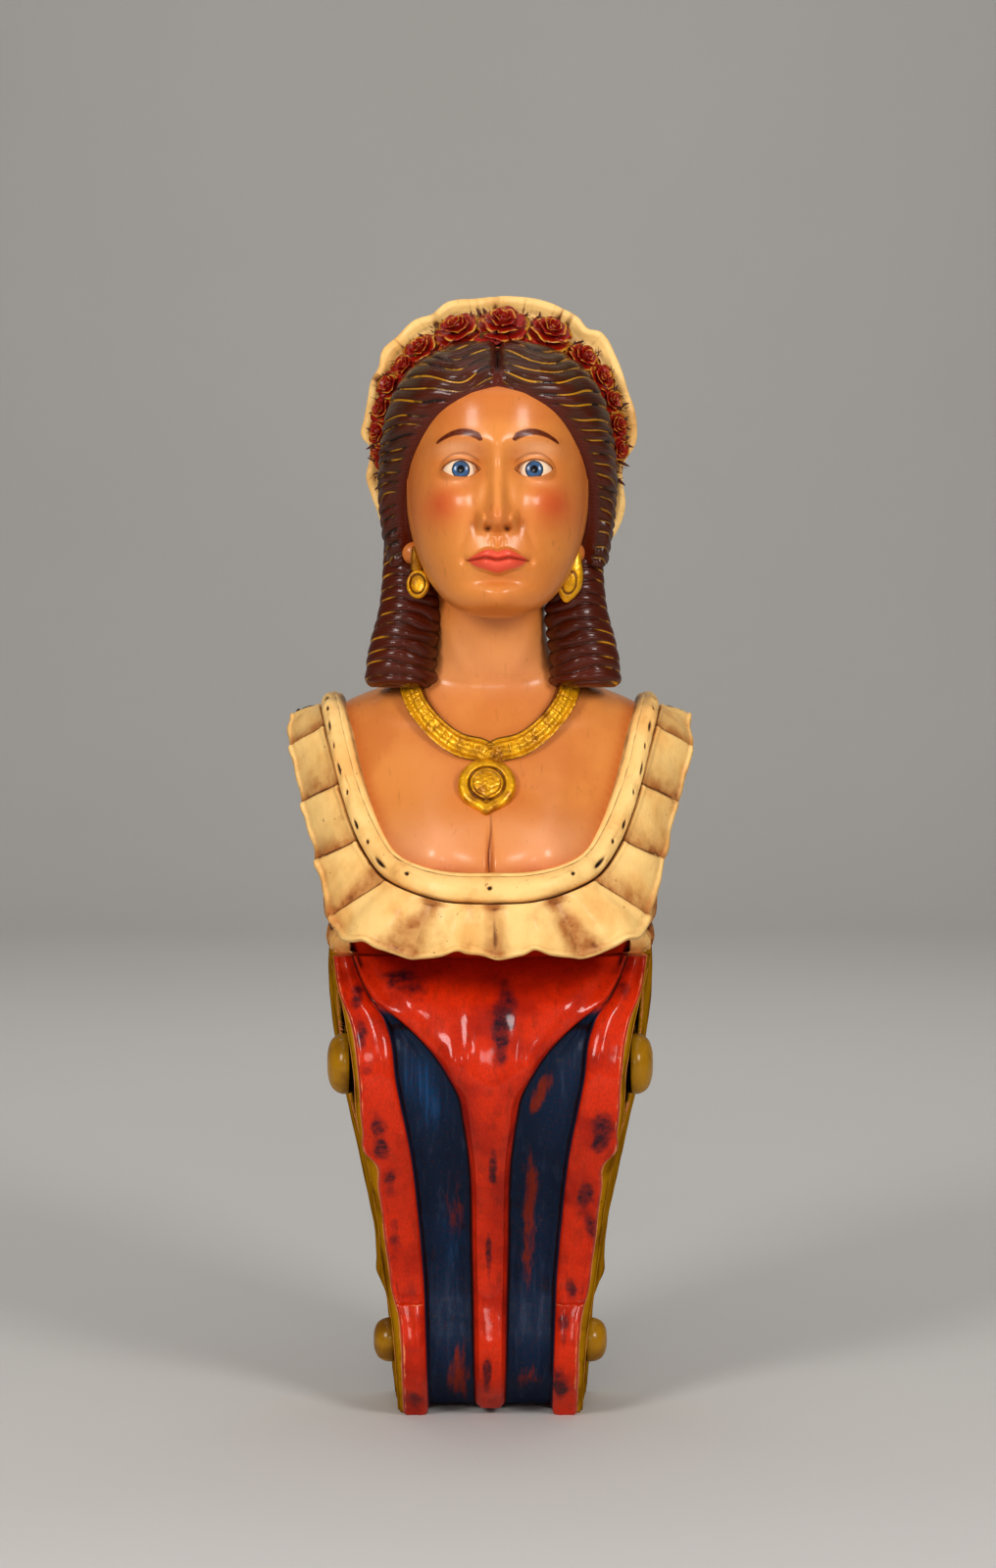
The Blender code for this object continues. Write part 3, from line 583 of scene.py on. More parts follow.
def cream_paint(paints):
    """Cream with a brown wash in every crease and in strokes along the band, and brown glaze with painted
    shade in blots under the pleats.
    """
    paint = Paint("cream_paint", 0.46, 0.12)
    base = paint.patchy(paints.cream, paints.cream_shade, 30.0, 0.85)
    base = paint.mix(paint.noise(58.0, 6.0).step(0.56, 0.76) * 0.4, base, paints.stain_and_shade)
    run = paint.marked_place("run")
    strokes = paint.noise(1.0, 4.0, paint.stretched((30.0, 300.0, 1.0), run), twist=0.4)
    base = paint.mix(strokes.step(0.6, 0.72) * paint.mark("banded") * 0.45, base, paints.stain_and_shade)
    weave = paint.noise(1.0, 3.0, paint.stretched((460.0, 60.0, 1.0), run))
    base = paint.mix(weave.step(0.55, 0.8) * 0.22, base, paints.cream_shade)
    # Brown glaze with painted shade: behind the pleats' drops, in the frill's pockets, under the roses on the
    # cap and low on the gathers.
    stain_and_shade = paint.mark("stain_and_shade") * (0.7 + 0.5 * paint.noise(95.0, 5.0).step(0.34, 0.66))
    base = paint.mix(stain_and_shade.step(-0.1, 1.1) * 0.85, base, paints.stain_and_shade)
    base = paint.mix((stain_and_shade * paint.noise(160.0, 5.0)).step(0.46, 0.8) * 0.6, base, paints.wash)
    base = paint.washed(base, paints.wash, 0.12, 0.72, 0.9)
    base = paint.mix(paint.noise(260.0, 2.0).step(0.72, 0.76) * 0.7, base, paints.wash)
    # Painted shadow, near black, inside the eyelets.
    base = paint.mix(paint.mark("pierced"), base, EYELET_SHADOW)
    base = bare_board(paint, base, paints)
    paint.brushed((70.0, 70.0, 70.0), 0.28)
    return paint.done(base, 0.38 + 0.2 * paint.noise(70.0, 3.0))


def gilt_paint(paints):
    """Gold paint, darker where the wash lies in the engraving."""
    paint = Paint("gilt_paint", 0.34, 0.35, 0.5)
    base = paint.patchy(paints.gilt, paints.gilt_shade, 90.0, 0.8)
    base = paint.washed(base, paints.wash, 0.14, 0.8, 0.85)
    paint.brushed((160.0, 160.0, 160.0), 0.35)
    return paint.done(base, 0.26 + 0.22 * paint.noise(150.0, 3.0))


def red_and_navy_paint(paints):
    """Red with navy smudges and worn edges, and navy channels streaked with red, all finely crackled."""
    paint = Paint("red_and_navy_paint", 0.42, 0.42)
    paint.shader.inputs["Coat Roughness"].default_value = 0.11
    paint.shader.inputs["Specular IOR Level"].default_value = 0.12
    red = paint.patchy(paints.red, paints.red_shade, 30.0, 0.7)
    blotches = paint.noise(1.0, 5.0, paint.stretched((190.0, 90.0, 60.0))).step(0.52, 0.72)
    red = paint.mix(blotches * 0.3, red, paints.wash)
    dashes = paint.noise(1.0, 6.0, paint.stretched((150.0, 60.0, 240.0)), 0.8).step(0.38, 0.6)
    smudge = (paint.mark("smudge") + 1.7 * paint.noise(85.0, 6.0) - 0.88).step(0.2, 0.95)
    red = paint.mix(smudge * (0.58 + 0.38 * dashes), red, paints.smudge)
    grain = paint.noise(1.0, 5.0, paint.stretched((260.0, 90.0, 14.0)), 0.6)
    navy = paint.mix(grain.step(0.5, 0.8) * 0.5, paints.navy, paints.navy_light)
    navy = paint.mix(paint.mark("bright") * grain.step(0.35, 0.65) * 0.75, navy, paints.bright_blue)
    streak = paint.noise(1.0, 5.0, paint.stretched((260.0, 60.0, 60.0)), 0.7).step(0.38, 0.62)
    navy = paint.mix((paint.mark("streak") + 0.55 * streak - 0.38).step(0.12, 1.0) * 0.8, navy, paints.rust)
    specks = paint.noise(520.0, 2.0).step(0.7, 0.76)
    navy = paint.mix(specks * 0.6, navy, paints.grey_dust_and_sheen)
    base = paint.mix(paint.mark("channel"), red, navy)
    base = paint.washed(base, RED_WASH, 0.12, 0.7, 0.85)
    base = paint.rubbed(base, paints.worn, 0.42, 0.78, 0.8)
    crazing = paint.cracks(420.0, paint.stretched((1.0, 1.0, 0.45)))
    base = paint.mix(crazing.step(0.1, 0.02) * 0.2, base, paints.wash)
    base = bare_board(paint, base, paints)
    paint.raised(crazing.step(0.14, 0.0), 0.12, -0.0004)
    paint.brushed((44.0, 44.0, 26.0), 0.42)
    return paint.done(base, 0.36 + 0.25 * paint.noise(60.0, 3.0), 0.42 - 0.39 * paint.mark("channel"))


def ochre_paint(paints):
    """Ochre with black in the sunk spirals and pale chips on the edges."""
    paint = Paint("ochre_paint")
    paint.shader.inputs["Specular IOR Level"].default_value = 0.0
    base = paint.patchy(paints.ochre, paints.ochre_shade, 34.0, 0.9)
    base = paint.washed(base, OCHRE_WASH, 0.35, 0.9, 0.7)
    base = paint.mix(paint.mark("sunk").step(0.15, 0.6), base, SUNK)
    base = paint.rubbed(base, paints.worn, 0.4, 0.75, 0.75)
    base = paint.mix(paint.noise(300.0, 2.0).step(0.72, 0.76) * 0.7, base, paints.wash)
    base = bare_board(paint, base, paints)
    paint.brushed((60.0, 60.0, 24.0), 0.3)
    return paint.done(base, 0.3 + 0.2 * paint.noise(80.0, 3.0), paint.mark("glossy") * 0.6)


PAINTERS = {
    "skin_paint": skin_paint, "hair_paint": hair_paint, "garland_paint": garland_paint,
    "cream_paint": cream_paint, "gilt_paint": gilt_paint, "red_and_navy_paint": red_and_navy_paint,
    "ochre_paint": ochre_paint, "eye_paint": eye_paint,
}


def painted(context, name):
    """The finish called name, mixed the first time that it is asked for."""
    return bpy.data.materials.get(name) or PAINTERS[name](context.scene.figurehead_paints)


# ---------------------------------------------------------------- console

BEVEL = (0.0045, 0.012)  # between the console's front and side: across, and back
FOOT_LIFT = 0.0048  # how far the rib and the channels end above the foot of the bands
STEP_HEIGHT = 0.081  # height of the ridge where the lower scroll starts
BACK_CLEARANCE = 0.0004  # how far the console's front stays off the back plane
BOARD_TOP = 0.318
BOARD_THICKNESS = 0.016
EYES = {  # each scroll's eye: height, forward place, radius, how far it stands out
    "upper": (0.244, 0.094, 0.0205, 0.014),
    "lower": (0.0495, 0.06, 0.015, 0.0135),
}
DISHES = {  # round each eye: height, forward place, radius, depth, half width of the spiral left in it
    "upper": (0.245, 0.096, 0.0465, 0.012, 0.0026),
    "lower": (0.0515, 0.062, 0.025, 0.0085, 0.0016),
}


def outline(h, *stations):
    """Lengths at height h: the smooth curve through stations of height and those lengths, all in mm."""
    return through(np.array(stations) / 1000, h)


def band_face(h):
    """How far forward the bands stand at height h: the S of the two scrolls."""
    return outline(h, (0, 70), (10, 78), (30, 95), (50, 101), (68, 97), (90, 92), (125, 101), (150, 112),
                   (173, 127), (205, 148), (238, 158), (270, 153), (292, 142), (307, 129), (318, 110))


def front_half_width(h):
    """Half width across the bands' outer edges; both scrolls end in a small step."""
    return outline(h, (0, 59), (35, 59.2), (60, 60), (77.5, 62.6), (84, 65), (110, 68.6), (124, 70.5),
                   (143, 72), (164, 74.2), (182.5, 75.7), (190, 82.6), (205, 83.6), (221, 84.8),
                   (236, 85.2), (251, 86.6), (265, 88.2), (281, 92.2), (295, 98.5), (318, 104.2))


def side_half_width(h):
    """Half width across the side boards where they meet the front's bevel."""
    return outline(h, (0, 62), (50, 64), (107, 72.2), (150, 76.5), (184, 81.5), (210, 86.2), (250, 89.3),
                   (281, 95), (318, 106.6))


def back_half_width(h):
    """Half width across the side boards at the flat back."""
    return outline(h, (0, 67), (18, 69), (50, 71.2), (74, 74.5), (86, 80), (96, 80), (120, 82), (146, 87.4),
                   (169, 92.2), (191, 96.9), (209, 101), (257, 109.5), (276, 112), (302, 113), (318, 112.5))


def band_inner_edge(h):
    """Half width across the bands' inner edges, where the channels start."""
    return outline(h, (0, 42.5), (35, 43), (110, 46.2), (140, 48.5), (193, 53.5), (240, 62), (273, 67.2),
                   (281, 70.5), (290, 77.5), (300, 84), (318, 93))


def skirt_half_width(h):
    """Half width of the skirt, which gathers from full width under the flounce to a narrow rib."""
    return outline(h, (0, 9.2), (110, 11.2), (193, 13.8), (212, 16.4), (230, 19.9), (242, 26.2),
                   (259, 37.8), (271, 49.5), (280, 60), (288, 70.5), (300, 86), (318, 95))


def skirt_folds(x, h):
    """The skirt's soft folds: two hips, a belly, and narrow upright folds that fade into the rib."""
    side = abs(x)
    hips = 0.0042 * bump(side - 0.052, 0.019) * bump(h - 0.293, 0.013)
    belly = 0.0034 * bump(x - 0.002, 0.017) * bump(h - 0.296, 0.018)
    upright = bump(x + 0.0135, 0.0036) + 0.6 * bump(x - 0.003, 0.009) - 0.6 * bump(x - 0.018, 0.005)
    upright = 0.0016 * upright * eased(0.19, 0.225, h) * eased(0.306, 0.286, h)
    knees = 0.0034 * bump(side - 0.025, 0.007) * bump(h - 0.25, 0.015)
    corner = -0.0034 * bump(side - 0.066 - 0.9 * (h - 0.295), 0.006) * eased(0.28, 0.298, h)
    return hips + belly + upright + knees + corner


def front_stations(sizes, h):
    """The row of stations (half place across, forward place) from the middle of the rib to the middle of the
    back, then the skirt's half width and the bands' inner edge."""
    face, outer, back, inner = band_face(h), front_half_width(h), back_half_width(h), band_inner_edge(h)
    skirt = np.minimum(skirt_half_width(h), inner - 0.0026)
    gap = inner - skirt
    sunk = sizes.channel_depth * eased(0.003, 0.016, gap) + 0.0022
    tight = np.clip(gap / 0.01, 0.3, 1)
    crown = 0.004 + 0.006 * eased(0.1, 0.24, h)
    proud = face + sizes.step_depth * eased(STEP_HEIGHT + 0.0006, STEP_HEIGHT - 0.0006, h)
    lip = 0.0006
    floor = face - sunk
    band = outer - inner
    rib = [
        (0 * h, face + crown), (0.25 * skirt, face + 0.98 * crown), (0.52 * skirt, face + 0.88 * crown),
        (0.8 * skirt, face + 0.58 * crown), (skirt - 0.0018, face + 0.22 * crown),
        (skirt - 0.0002 * tight, face - 0.12 * sunk)]
    channel = [
        (skirt + 0.0006 * tight, face - 0.55 * sunk), (skirt + 0.0018 * tight, face - 0.92 * sunk),
        (skirt + 0.0044 * tight, floor), (skirt + 0.5 * gap, floor - 0.0004), (inner - 0.0048 * tight, floor),
        (inner - 0.0026 * tight, face - 0.93 * sunk), (inner - 0.001 * tight, face - 0.5 * sunk)]
    bands = [
        (inner, proud - 0.003), (inner + 0.0012, proud - 0.0016), (inner + 0.26 * band, proud + 0.6 * lip),
        (inner + 0.34 * band, proud + lip), (inner + 0.42 * band, proud + 0.3 * lip),
        (inner + 0.7 * band, proud), (outer - 0.004, proud + 0.2 * lip), (outer - 0.0014, proud + lip),
        (outer - 0.0002, proud - 0.0012), (outer + 0.0002, proud - 0.004), (outer - 0.001, face - 0.008)]
    hidden = [
        (outer - 0.01, face - 0.012), (outer - 0.014, 0.5 * face), (back - 0.018, BACK_CLEARANCE + 0 * h),
        (0 * h, BACK_CLEARANCE + 0 * h)]
    return np.array(rib + channel + bands + hidden), len(hidden), skirt, inner


def console_front(sizes):
    """Dress, rib, channels and bands: a row of stations across the front at every height, joined by smooth
    curves, to which the skirt's folds and the foot's round-off are added."""
    top = sizes.console_top
    h = np.unique(np.concatenate([
        np.linspace(0, 0.012, 11), np.linspace(0.012, top, 168),
        np.linspace(STEP_HEIGHT - 0.003, STEP_HEIGHT + 0.003, 9), np.linspace(top - 0.006, top, 6)]))
    stations, hidden, skirt, inner = front_stations(sizes, h)  # stations: station, (x, f), height
    chord = np.linalg.norm(np.diff(stations, axis=0), axis=1).mean(axis=1)
    knots = np.concatenate([[0], np.cumsum(chord)])
    shown = len(stations) - hidden
    counts = [max(3, round(run / 0.0012)) if i < shown else 5 for i, run in enumerate(chord)]
    spans = zip(knots, knots[1:], counts)
    steps = [np.linspace(start, stop, count, endpoint=False) for start, stop, count in spans]
    u = np.append(np.concatenate(steps), knots[-1])
    flat = through(np.column_stack([knots, stations.reshape(len(knots), -1)]), u)
    half = flat.reshape(len(u), 2, len(h)).transpose(2, 0, 1)
    half[..., 1] = np.maximum(half[..., 1], BACK_CLEARANCE)
    across = beside(half[:, :-1], half[:, :0:-1] * np.array([-1, 1]))
    x, f = across[..., 0].copy(), across[..., 1].copy()
    height = np.broadcast_to(h[:, None], x.shape).copy()
    side, past_skirt, past_inner = abs(x), abs(x) - skirt[:, None], abs(x) - inner[:, None]
    front = f > 0.6 * band_face(h)[:, None]
    on_skirt = front * eased(0.0015, 0.0, past_skirt + 0.0016)
    f += skirt_folds(x, height) * on_skirt
    within = eased(inner[0] + 0.0005, inner[0] - 0.001, side)
    height += FOOT_LIFT * within * np.clip(1 - height / 0.03, 0, 1) ** 2
    rounding = 0.0035 * bump(abs(side - 0.0505) - 0.01, 0.0022) + 0.0045 * bump(side - 0.0092, 0.0022)
    height += rounding * np.clip(1 - height / 0.012, 0, 1) ** 2 * front
    place = joined(x, f, height)
    f += (0.0004 * ripple(place, 120) + 0.0008 * ripple(place, 72, 2) * on_skirt) * front
    points = joined(x, f, height)
    hollow, crest = hollows(points, steps=3, scale=0.0003)
    channel = front * eased(0.0004, 0.0016, past_skirt) * eased(0.0003, -0.0009, past_inner)
    channel = channel * eased(0.0042, 0.0085, inner - skirt)[:, None]
    soft = on_skirt * eased(0.0, 0.006, -past_skirt) * (height > 0.012)
    narrow = 0.7 * front * (1 - channel) * eased(0.3, 1.0, seam(x, skirt, inner))
    edged = 1 - 0.8 * eased(0.255, 0.28, height) * (side < inner[:, None] + 0.002)
    hollow = np.maximum(hollow * (1 - 0.85 * soft), narrow)
    marks = {"hollow": hollow, "crest": crest * front * (1 - soft) * edged, "channel": channel,
             **console_marks(x, height)}
    return shell("console_front", points, marks)


def seam(x, skirt, inner):
    """1 in the narrow groove between skirt and band where there is no channel."""
    middle = 0.5 * (skirt + inner)[:, None]
    return bump(abs(x) - middle, 0.0014) * (inner - skirt < 0.006)[:, None]


MARKS = {  # soft ovals of paint on the console's front: x, h, half width and half height in mm, then strength
    "smudge": [
        (10, 287, 8, 20, 0.9), (6, 262, 7, 16, 0.7), (2, 182, 3.5, 14, 1), (-1, 115, 2.4, 22, 0.9),
        (-2, 34, 3.6, 14, 1), (-58, 306, 16, 8, 0.8), (-45, 296, 10, 7, 0.5), (66, 300, 12, 6, 0.4),
        (-87.5, 295, 5, 10, 1), (-84, 272, 5, 10, 0.9), (-80, 250, 5, 6, 0.6), (-73.5, 208, 7, 12, 0.9),
        (-71.5, 192, 6, 7, 0.9), (-66.5, 168, 5, 12, 0.9), (-64, 128, 5, 18, 0.6), (-55, 90, 6, 8, 0.6),
        (-52, 14, 7, 8, 0.9), (74.5, 210, 8, 12, 1), (72, 196, 6, 8, 0.9), (63.5, 160, 6, 11, 1),
        (67, 137, 5, 10, 0.8), (54, 90, 5, 10, 0.8), (50, 65, 5, 12, 0.7), (46.5, 26, 6, 13, 1),
        (87, 300, 6, 12, 0.6)],
    "streak": [
        (37, 239, 4, 7, 1), (33, 231, 4, 7, 1), (29.5, 223, 4, 7, 0.9), (27.5, 172, 4.5, 16, 0.9),
        (26.5, 140, 5, 26, 1), (24.5, 105, 4, 14, 0.8), (-21.5, 30, 7.5, 22, 1), (26, 28, 8, 10, 0.6),
        (-23.5, 150, 6, 22, 0.5)],
    "bright": [
        (-46, 240, 10, 14, 1), (-38, 220, 8, 14, 0.6), (-26, 125, 7, 20, 0.35)],
}


def console_marks(x, h):
    """Where the painter smudged navy on the red and red on the navy: a sum of ovals with a flat top and soft
    edges, exp of minus the cube of the distance from the oval's middle in its own half sizes."""
    return {label: sum(strength * np.exp(-(((x - cx / 1000) / (wide / 1000)) ** 2
                                           + ((h - ch / 1000) / (tall / 1000)) ** 2) ** 1.5)
                       for cx, ch, wide, tall, strength in ovals) for label, ovals in MARKS.items()}


def side_at(h, f, side):
    """The point of the console's slanted side at height h and forward place f."""
    edge, back = side_half_width(h), back_half_width(h)
    return np.array([side * (back + (edge - back) * f / (band_face(h) - BEVEL[1])), f, h])


def side_relief(f, h, edge):
    """How far the side board's carving lies below its face.

    A round dish lies round each eye, with a spiral ridge left standing in it, and a groove follows the front
    edge from one dish to the other.
    """
    sunk = np.zeros(np.broadcast(f, h).shape)
    for place, (dish_h, dish_f, radius, depth, half) in DISHES.items():
        eye_h, eye_f, eye_radius, _ = EYES[place]
        dish = eased(radius, radius - 0.0035, np.hypot(f - dish_f, h - dish_h))
        away = np.hypot(f - eye_f, h - eye_h)
        angle = np.mod(np.arctan2(h - eye_h, f - eye_f) - 1.2, 2 * math.pi)
        line = eye_radius + 0.002 + (radius - eye_radius) * (angle / (2 * math.pi)) ** 1.3
        spiral = eased(1.8 * half, 0.8 * half, abs(away - line)) * eased(0, 0.5, angle)
        sunk = np.maximum(sunk, depth * dish * (1 - 0.85 * spiral * eased(3.9, 3.3, angle)))
    along = eased(0.078, 0.1, h) * eased(0.222, 0.205, h)
    return np.maximum(sunk, 0.0022 * along * eased(0.0034, 0.0012, abs(edge - 0.01 - f)))


def console_side(side):
    """The ochre side board: at every height a line from the back to the front bevel, sunk by its relief,
    round the bevel to the bands, and back inside the console."""
    h = np.linspace(0, BOARD_TOP, 200)[:, None]
    edge = band_face(h) - BEVEL[1]
    q = np.linspace(0, 1, 96)[None]
    f = edge * q
    back, bevel = back_half_width(h), side_half_width(h)
    depth = side_relief(f, h, edge)
    lip = 0.001 * eased(0.01, 0.006, edge - f)
    x = back + (bevel - back) * q - depth + lip * (1 - eased(0.998, 1.0, q))
    turn = np.linspace(0, 1, 9)[None, 1:]
    corner = front_half_width(h) - 0.0004
    bevel_x = bevel + (corner - bevel) * turn + 0.0009 * np.sin(turn * math.pi)
    bevel_f = edge + (BEVEL[1] - 0.003) * turn + 0.0012 * np.sin(turn * math.pi)
    x = beside(x, bevel_x, corner - 0.004, corner - BOARD_THICKNESS, back - 0.02)
    f = np.maximum(beside(f, bevel_f, edge + 0.002, edge - 0.01, 0 * h), 0.0002)
    points = joined(side * x, f, h)
    points[..., 0] += side * 0.0003 * ripple(points, 120)
    sunk = np.zeros(x.shape)
    sunk[:, :depth.shape[1]] = depth / 0.0045
    hollow, crest = hollows(points, steps=3, scale=0.0003)
    return shell(f"console_side_{'right' if side > 0 else 'left'}", points,
                 {"hollow": hollow, "crest": crest * eased(0.3, 0.0, sunk), "sunk": sunk, "glossy": 0 * sunk})


def scroll_eyes():
    """The round eyes of the scrolls: buttons with a straight root, a swelling side and a domed face."""
    grids, sunk = [], []
    for h, f, radius, stand in EYES.values():
        profile = [(radius * 0.9, -0.013), (radius * 0.94, -0.003), (radius, 0.0025),
                   (radius * 0.97, 0.42 * stand), (radius * 0.8, 0.76 * stand), (radius * 0.5, 0.94 * stand),
                   (0.0005, stand)]
        for side in SIDES:
            middle, axis = side_at(h, f, side), unit(np.array([side, 0.1, 0]))
            grids.append(turned(middle, axis, rounded(profile, 34), 44))
            sunk.append(eased(0.0012, -0.0004, (grids[-1] - middle) @ axis))
    marks = {"hollow": [hollows(grid, scale=0.0006)[0] for grid in grids],
             "crest": [0 * part for part in sunk], "sunk": sunk, "glossy": [1 + 0 * part for part in sunk]}
    return shell("scroll_eyes", grids, marks)


# ---------------------------------------------------------------- bust

NECKLACE_LINE = millimetres(  # from the middle round to the nape: share, then x, h, f
    (0, 0, 454.7, 125), (0.25, 20, 459, 122.5), (0.5, 35.5, 470, 116), (0.75, 47.5, 485, 107),
    (1, 54.5, 502, 96))
PENDANT_AT = np.array([-0.002, 0.1385, 0.4325])
PENDANT_AXIS = unit(np.array([0, 1, 0.55]))
POINT = math.pi * 1.5  # the turn, about the pendant's axis, at which it hangs down
NECKLINE = millimetres(  # from the middle of the chest over the shoulder to the back: share, then x, h, f
    (0, 0, 379, 176), (0.1, 24, 379.5, 176.5), (0.2, 44.5, 383, 168), (0.3, 60, 390.5, 154),
    (0.4, 71, 406.5, 138), (0.5, 80.5, 427, 122), (0.6, 88, 448.5, 108), (0.7, 93.5, 469.5, 92),
    (0.8, 98.5, 484.5, 70), (0.9, 102, 488.5, 40), (1, 101, 487, -12))
SEAM = millimetres(  # where the band ends and the frill starts
    (0, 0, 359.4, 188), (0.1, 28, 361, 187), (0.2, 52, 367, 177), (0.3, 71, 376, 160),
    (0.4, 84, 392, 142.5), (0.5, 92.5, 410, 128), (0.6, 100, 433, 113), (0.7, 106.5, 456.5, 97),
    (0.8, 112.5, 476.5, 75), (0.9, 115, 482, 42), (1, 114, 481, -12))
HEM = millimetres(
    (0, 0, 328.2, 190.5), (0.1, 40, 327, 189.5), (0.2, 75.5, 330, 177.5), (0.27, 93.5, 334.5, 164),
    (0.32, 101, 344, 153), (0.4, 107.5, 360, 137), (0.5, 113.5, 380, 117), (0.6, 120.5, 404, 96),
    (0.7, 128, 430, 78), (0.8, 135, 456, 60), (0.9, 135.2, 471.5, 32), (1, 132.5, 476.5, -12))
RUFFLE = (-0.135, -0.079, -0.0214, 0.0292, 0.0855, 0.14)  # x of the frill's ridges across the chest


def both_ways(stations, t):
    """Points (x, f, h) of a line that is given for one side, at t from -1 to 1."""
    x, h, f = through(stations, abs(t)).T
    return np.stack([np.sign(t) * x, f, h], axis=-1)


def torso_form():
    """Cosine of the turn, then x, forward place and height of the torso: level ovals whose size follows the
    height, squared off across the back below the nape."""
    stations = [  # height, half width, front, middle, back, in mm
        (296, 88, 104, 50, 1), (318, 95, 121, 50, 1), (335, 101, 145, 50, 1), (352, 106, 164, 50, 1),
        (378, 109, 170, 50, 1), (405, 112, 156, 50, 1), (430, 113, 139, 50, 1), (455, 112, 124, 47, 1),
        (473, 108, 114, 44, 1), (486, 98, 108, 45, 1), (494, 80, 105, 50, 2), (500, 63, 104, 57, 10),
        (508, 48, 106, 66, 22), (523, 40, 111, 72, 33), (543, 37, 117, 77, 38), (575, 37.5, 121, 80, 40),
    ]
    h = np.concatenate([np.linspace(0.296, 0.37, 24), np.linspace(0.37, 0.575, 114)[1:]])
    wide, front, middle, back = outline(h, *stations).T[:, :, None]
    turn = np.unique(np.concatenate([np.linspace(-1.65, 1.65, 170), np.linspace(-0.03, 0.03, 31)]))
    turn = np.concatenate([turn, np.linspace(1.65, 2 * math.pi - 1.65, 34)[1:-1]])[None]
    cos, sin = np.cos(turn), np.sin(turn)
    planed = np.where(cos > 0, 0.8, 0.8 - 0.74 * eased(0.5, 0.48, h[:, None]))
    f = middle + np.where(cos > 0, front - middle, middle - back) * np.sign(cos) * abs(cos) ** planed
    return cos, wide * np.sign(sin) * abs(sin) ** 0.85, f, h[:, None]


def torso():
    """Chest, shoulders and neck, with two breasts pressed up by the band, a crease between them, collar bones
    and the neck's two cords added in front."""
    cos, x, f, h = torso_form()
    side = abs(x)
    ahead = eased(0, 0.35, cos)
    soft = bells(x, h, (0.0125, 36, 25, 398, 24), (0.0125, -36, 25, 398, 24),  # breasts
                 (-0.0045, 0, 1.9, 380, 20), (-0.0009, 0, 7.5, 486, 8.5))  # cleft, and pit of the throat
    bones = 0.0008 * bump(h - 0.474 - 0.1 * (side - 0.04), 0.0045) * bump(side - 0.056, 0.026)
    cords = 0.0012 * bump(side - 0.012 - 0.5 * np.clip(h - 0.5, 0, 1), 0.006) * eased(0.492, 0.515, h)
    points = joined(x, np.maximum(f + ahead * (soft + bones + cords), 0.001), h)
    hollow, _ = hollows(points, steps=8, scale=0.0006)
    # Painted shade: beside the necklace, under the band's roll and the pendant, in the cleft, under the chin
    # and on the sides.
    shades = (0.75 * nearness(points, both_ways(NECKLACE_LINE, np.linspace(-1, 1, 60)), 0.0125),
              0.95 * nearness(points, both_ways(NECKLINE, np.linspace(-1, 1, 80)), 0.006),
              0.8 * nearness(points, PENDANT_AT[None] - 0.006 * PENDANT_AXIS, 0.024),
              bells(x, h, (0.5, 0, 3.5, 388, 20)), 0.6 * eased(0.53, 0.56, h) + 0 * x,
              0.45 * eased(0.085, 0.11, side))
    at_back = eased(0.02, 0.01, points[..., 1]) * eased(0.49, 0.48, h)
    blush = bells(x, h, (0.5, 34, 24, 392, 20), (0.5, -34, 24, 392, 20))
    # pale: a painted highlight on the bosom and low on the neck.
    pale = bells(side, h, (0.45, 36, 30, 396, 18)) + 0.22 * bump(h - 0.515, 0.022)
    crease = 0.9 * ahead * bump(x + 0.0008 * np.sin(h * 150), 0.0007) * bump(h - 0.392, 0.022)
    return shell("torso", points, {
        "hollow": hollow * 0.45, "shade": np.maximum.reduce(shades) * ahead, "blush": ahead * blush,
        "bodice": eased(0.362, 0.352, h) * (1 - at_back), "pale": ahead * pale,
        "lips": 0 * x, "brow": 0 * x, "line": np.maximum(at_back, crease)})


PLEATS = (  # shares of the collar's length at which a pleat ends, along the seam and along the hem
    (0, 0.135, 0.275, 0.43, 0.6, 0.765, 0.905, 1.06), (0, 0.175, 0.34, 0.515, 0.66, 0.795, 0.915, 1.06))
CHEST = 0.33  # the share of the collar's length that lies across the chest, where the frill falls in waves
EYELETS = [  # holes worked in the band: share, place across it, half length, half width
    (0, 0.55, 0.0016, 0.0013), (0.215, 0.5, 0.0016, 0.0013), (0.31, 0.68, 0.006, 0.0014),
    (0.385, 0.62, 0.0016, 0.0012), (0.455, 0.72, 0.0034, 0.0013), (0.545, 0.6, 0.0015, 0.0012),
    (0.615, 0.66, 0.0044, 0.0014), (0.675, 0.6, 0.002, 0.0011), (0.735, 0.62, 0.004, 0.0014),
    (0.79, 0.56, 0.002, 0.0012), (0.85, 0.52, 0.0042, 0.0018), (0.93, 0.52, 0.002, 0.0014)]
HEM_THICKNESS = 0.004


def band_relief(t, run, width, a):
    """How far the band stands out, a roll with a lip at the neck and a notch at the seam, and where it is
    pierced, a flat-topped bell round each eyelet and slit."""
    roll = 0.0062 * np.clip(np.sin(math.pi * a), 0, 1) ** 0.55
    lip = 0.0008 * bump(a - 0.07, 0.05) - 0.0006 * bump(a - 0.17, 0.05) + 0.0006 * bump(a - 0.45, 0.16)
    uneven = 0.0006 * np.sin(run * 190 + 2 * np.sin(run * 83)) * np.sin(math.pi * a)
    pierced = 0
    for share, across, long, wide in EYELETS:
        for way in SIDES:
            along = (run - np.interp(way * share, t, run[:, 0])) / long
            hole = along ** 2 + ((a - across) * width / wide) ** 2
            pierced = np.maximum(pierced, np.exp(-hole ** 1.5))
    return roll + lip - 0.003 * bump(a - 1, 0.055) + uneven - 0.0022 * pierced, pierced


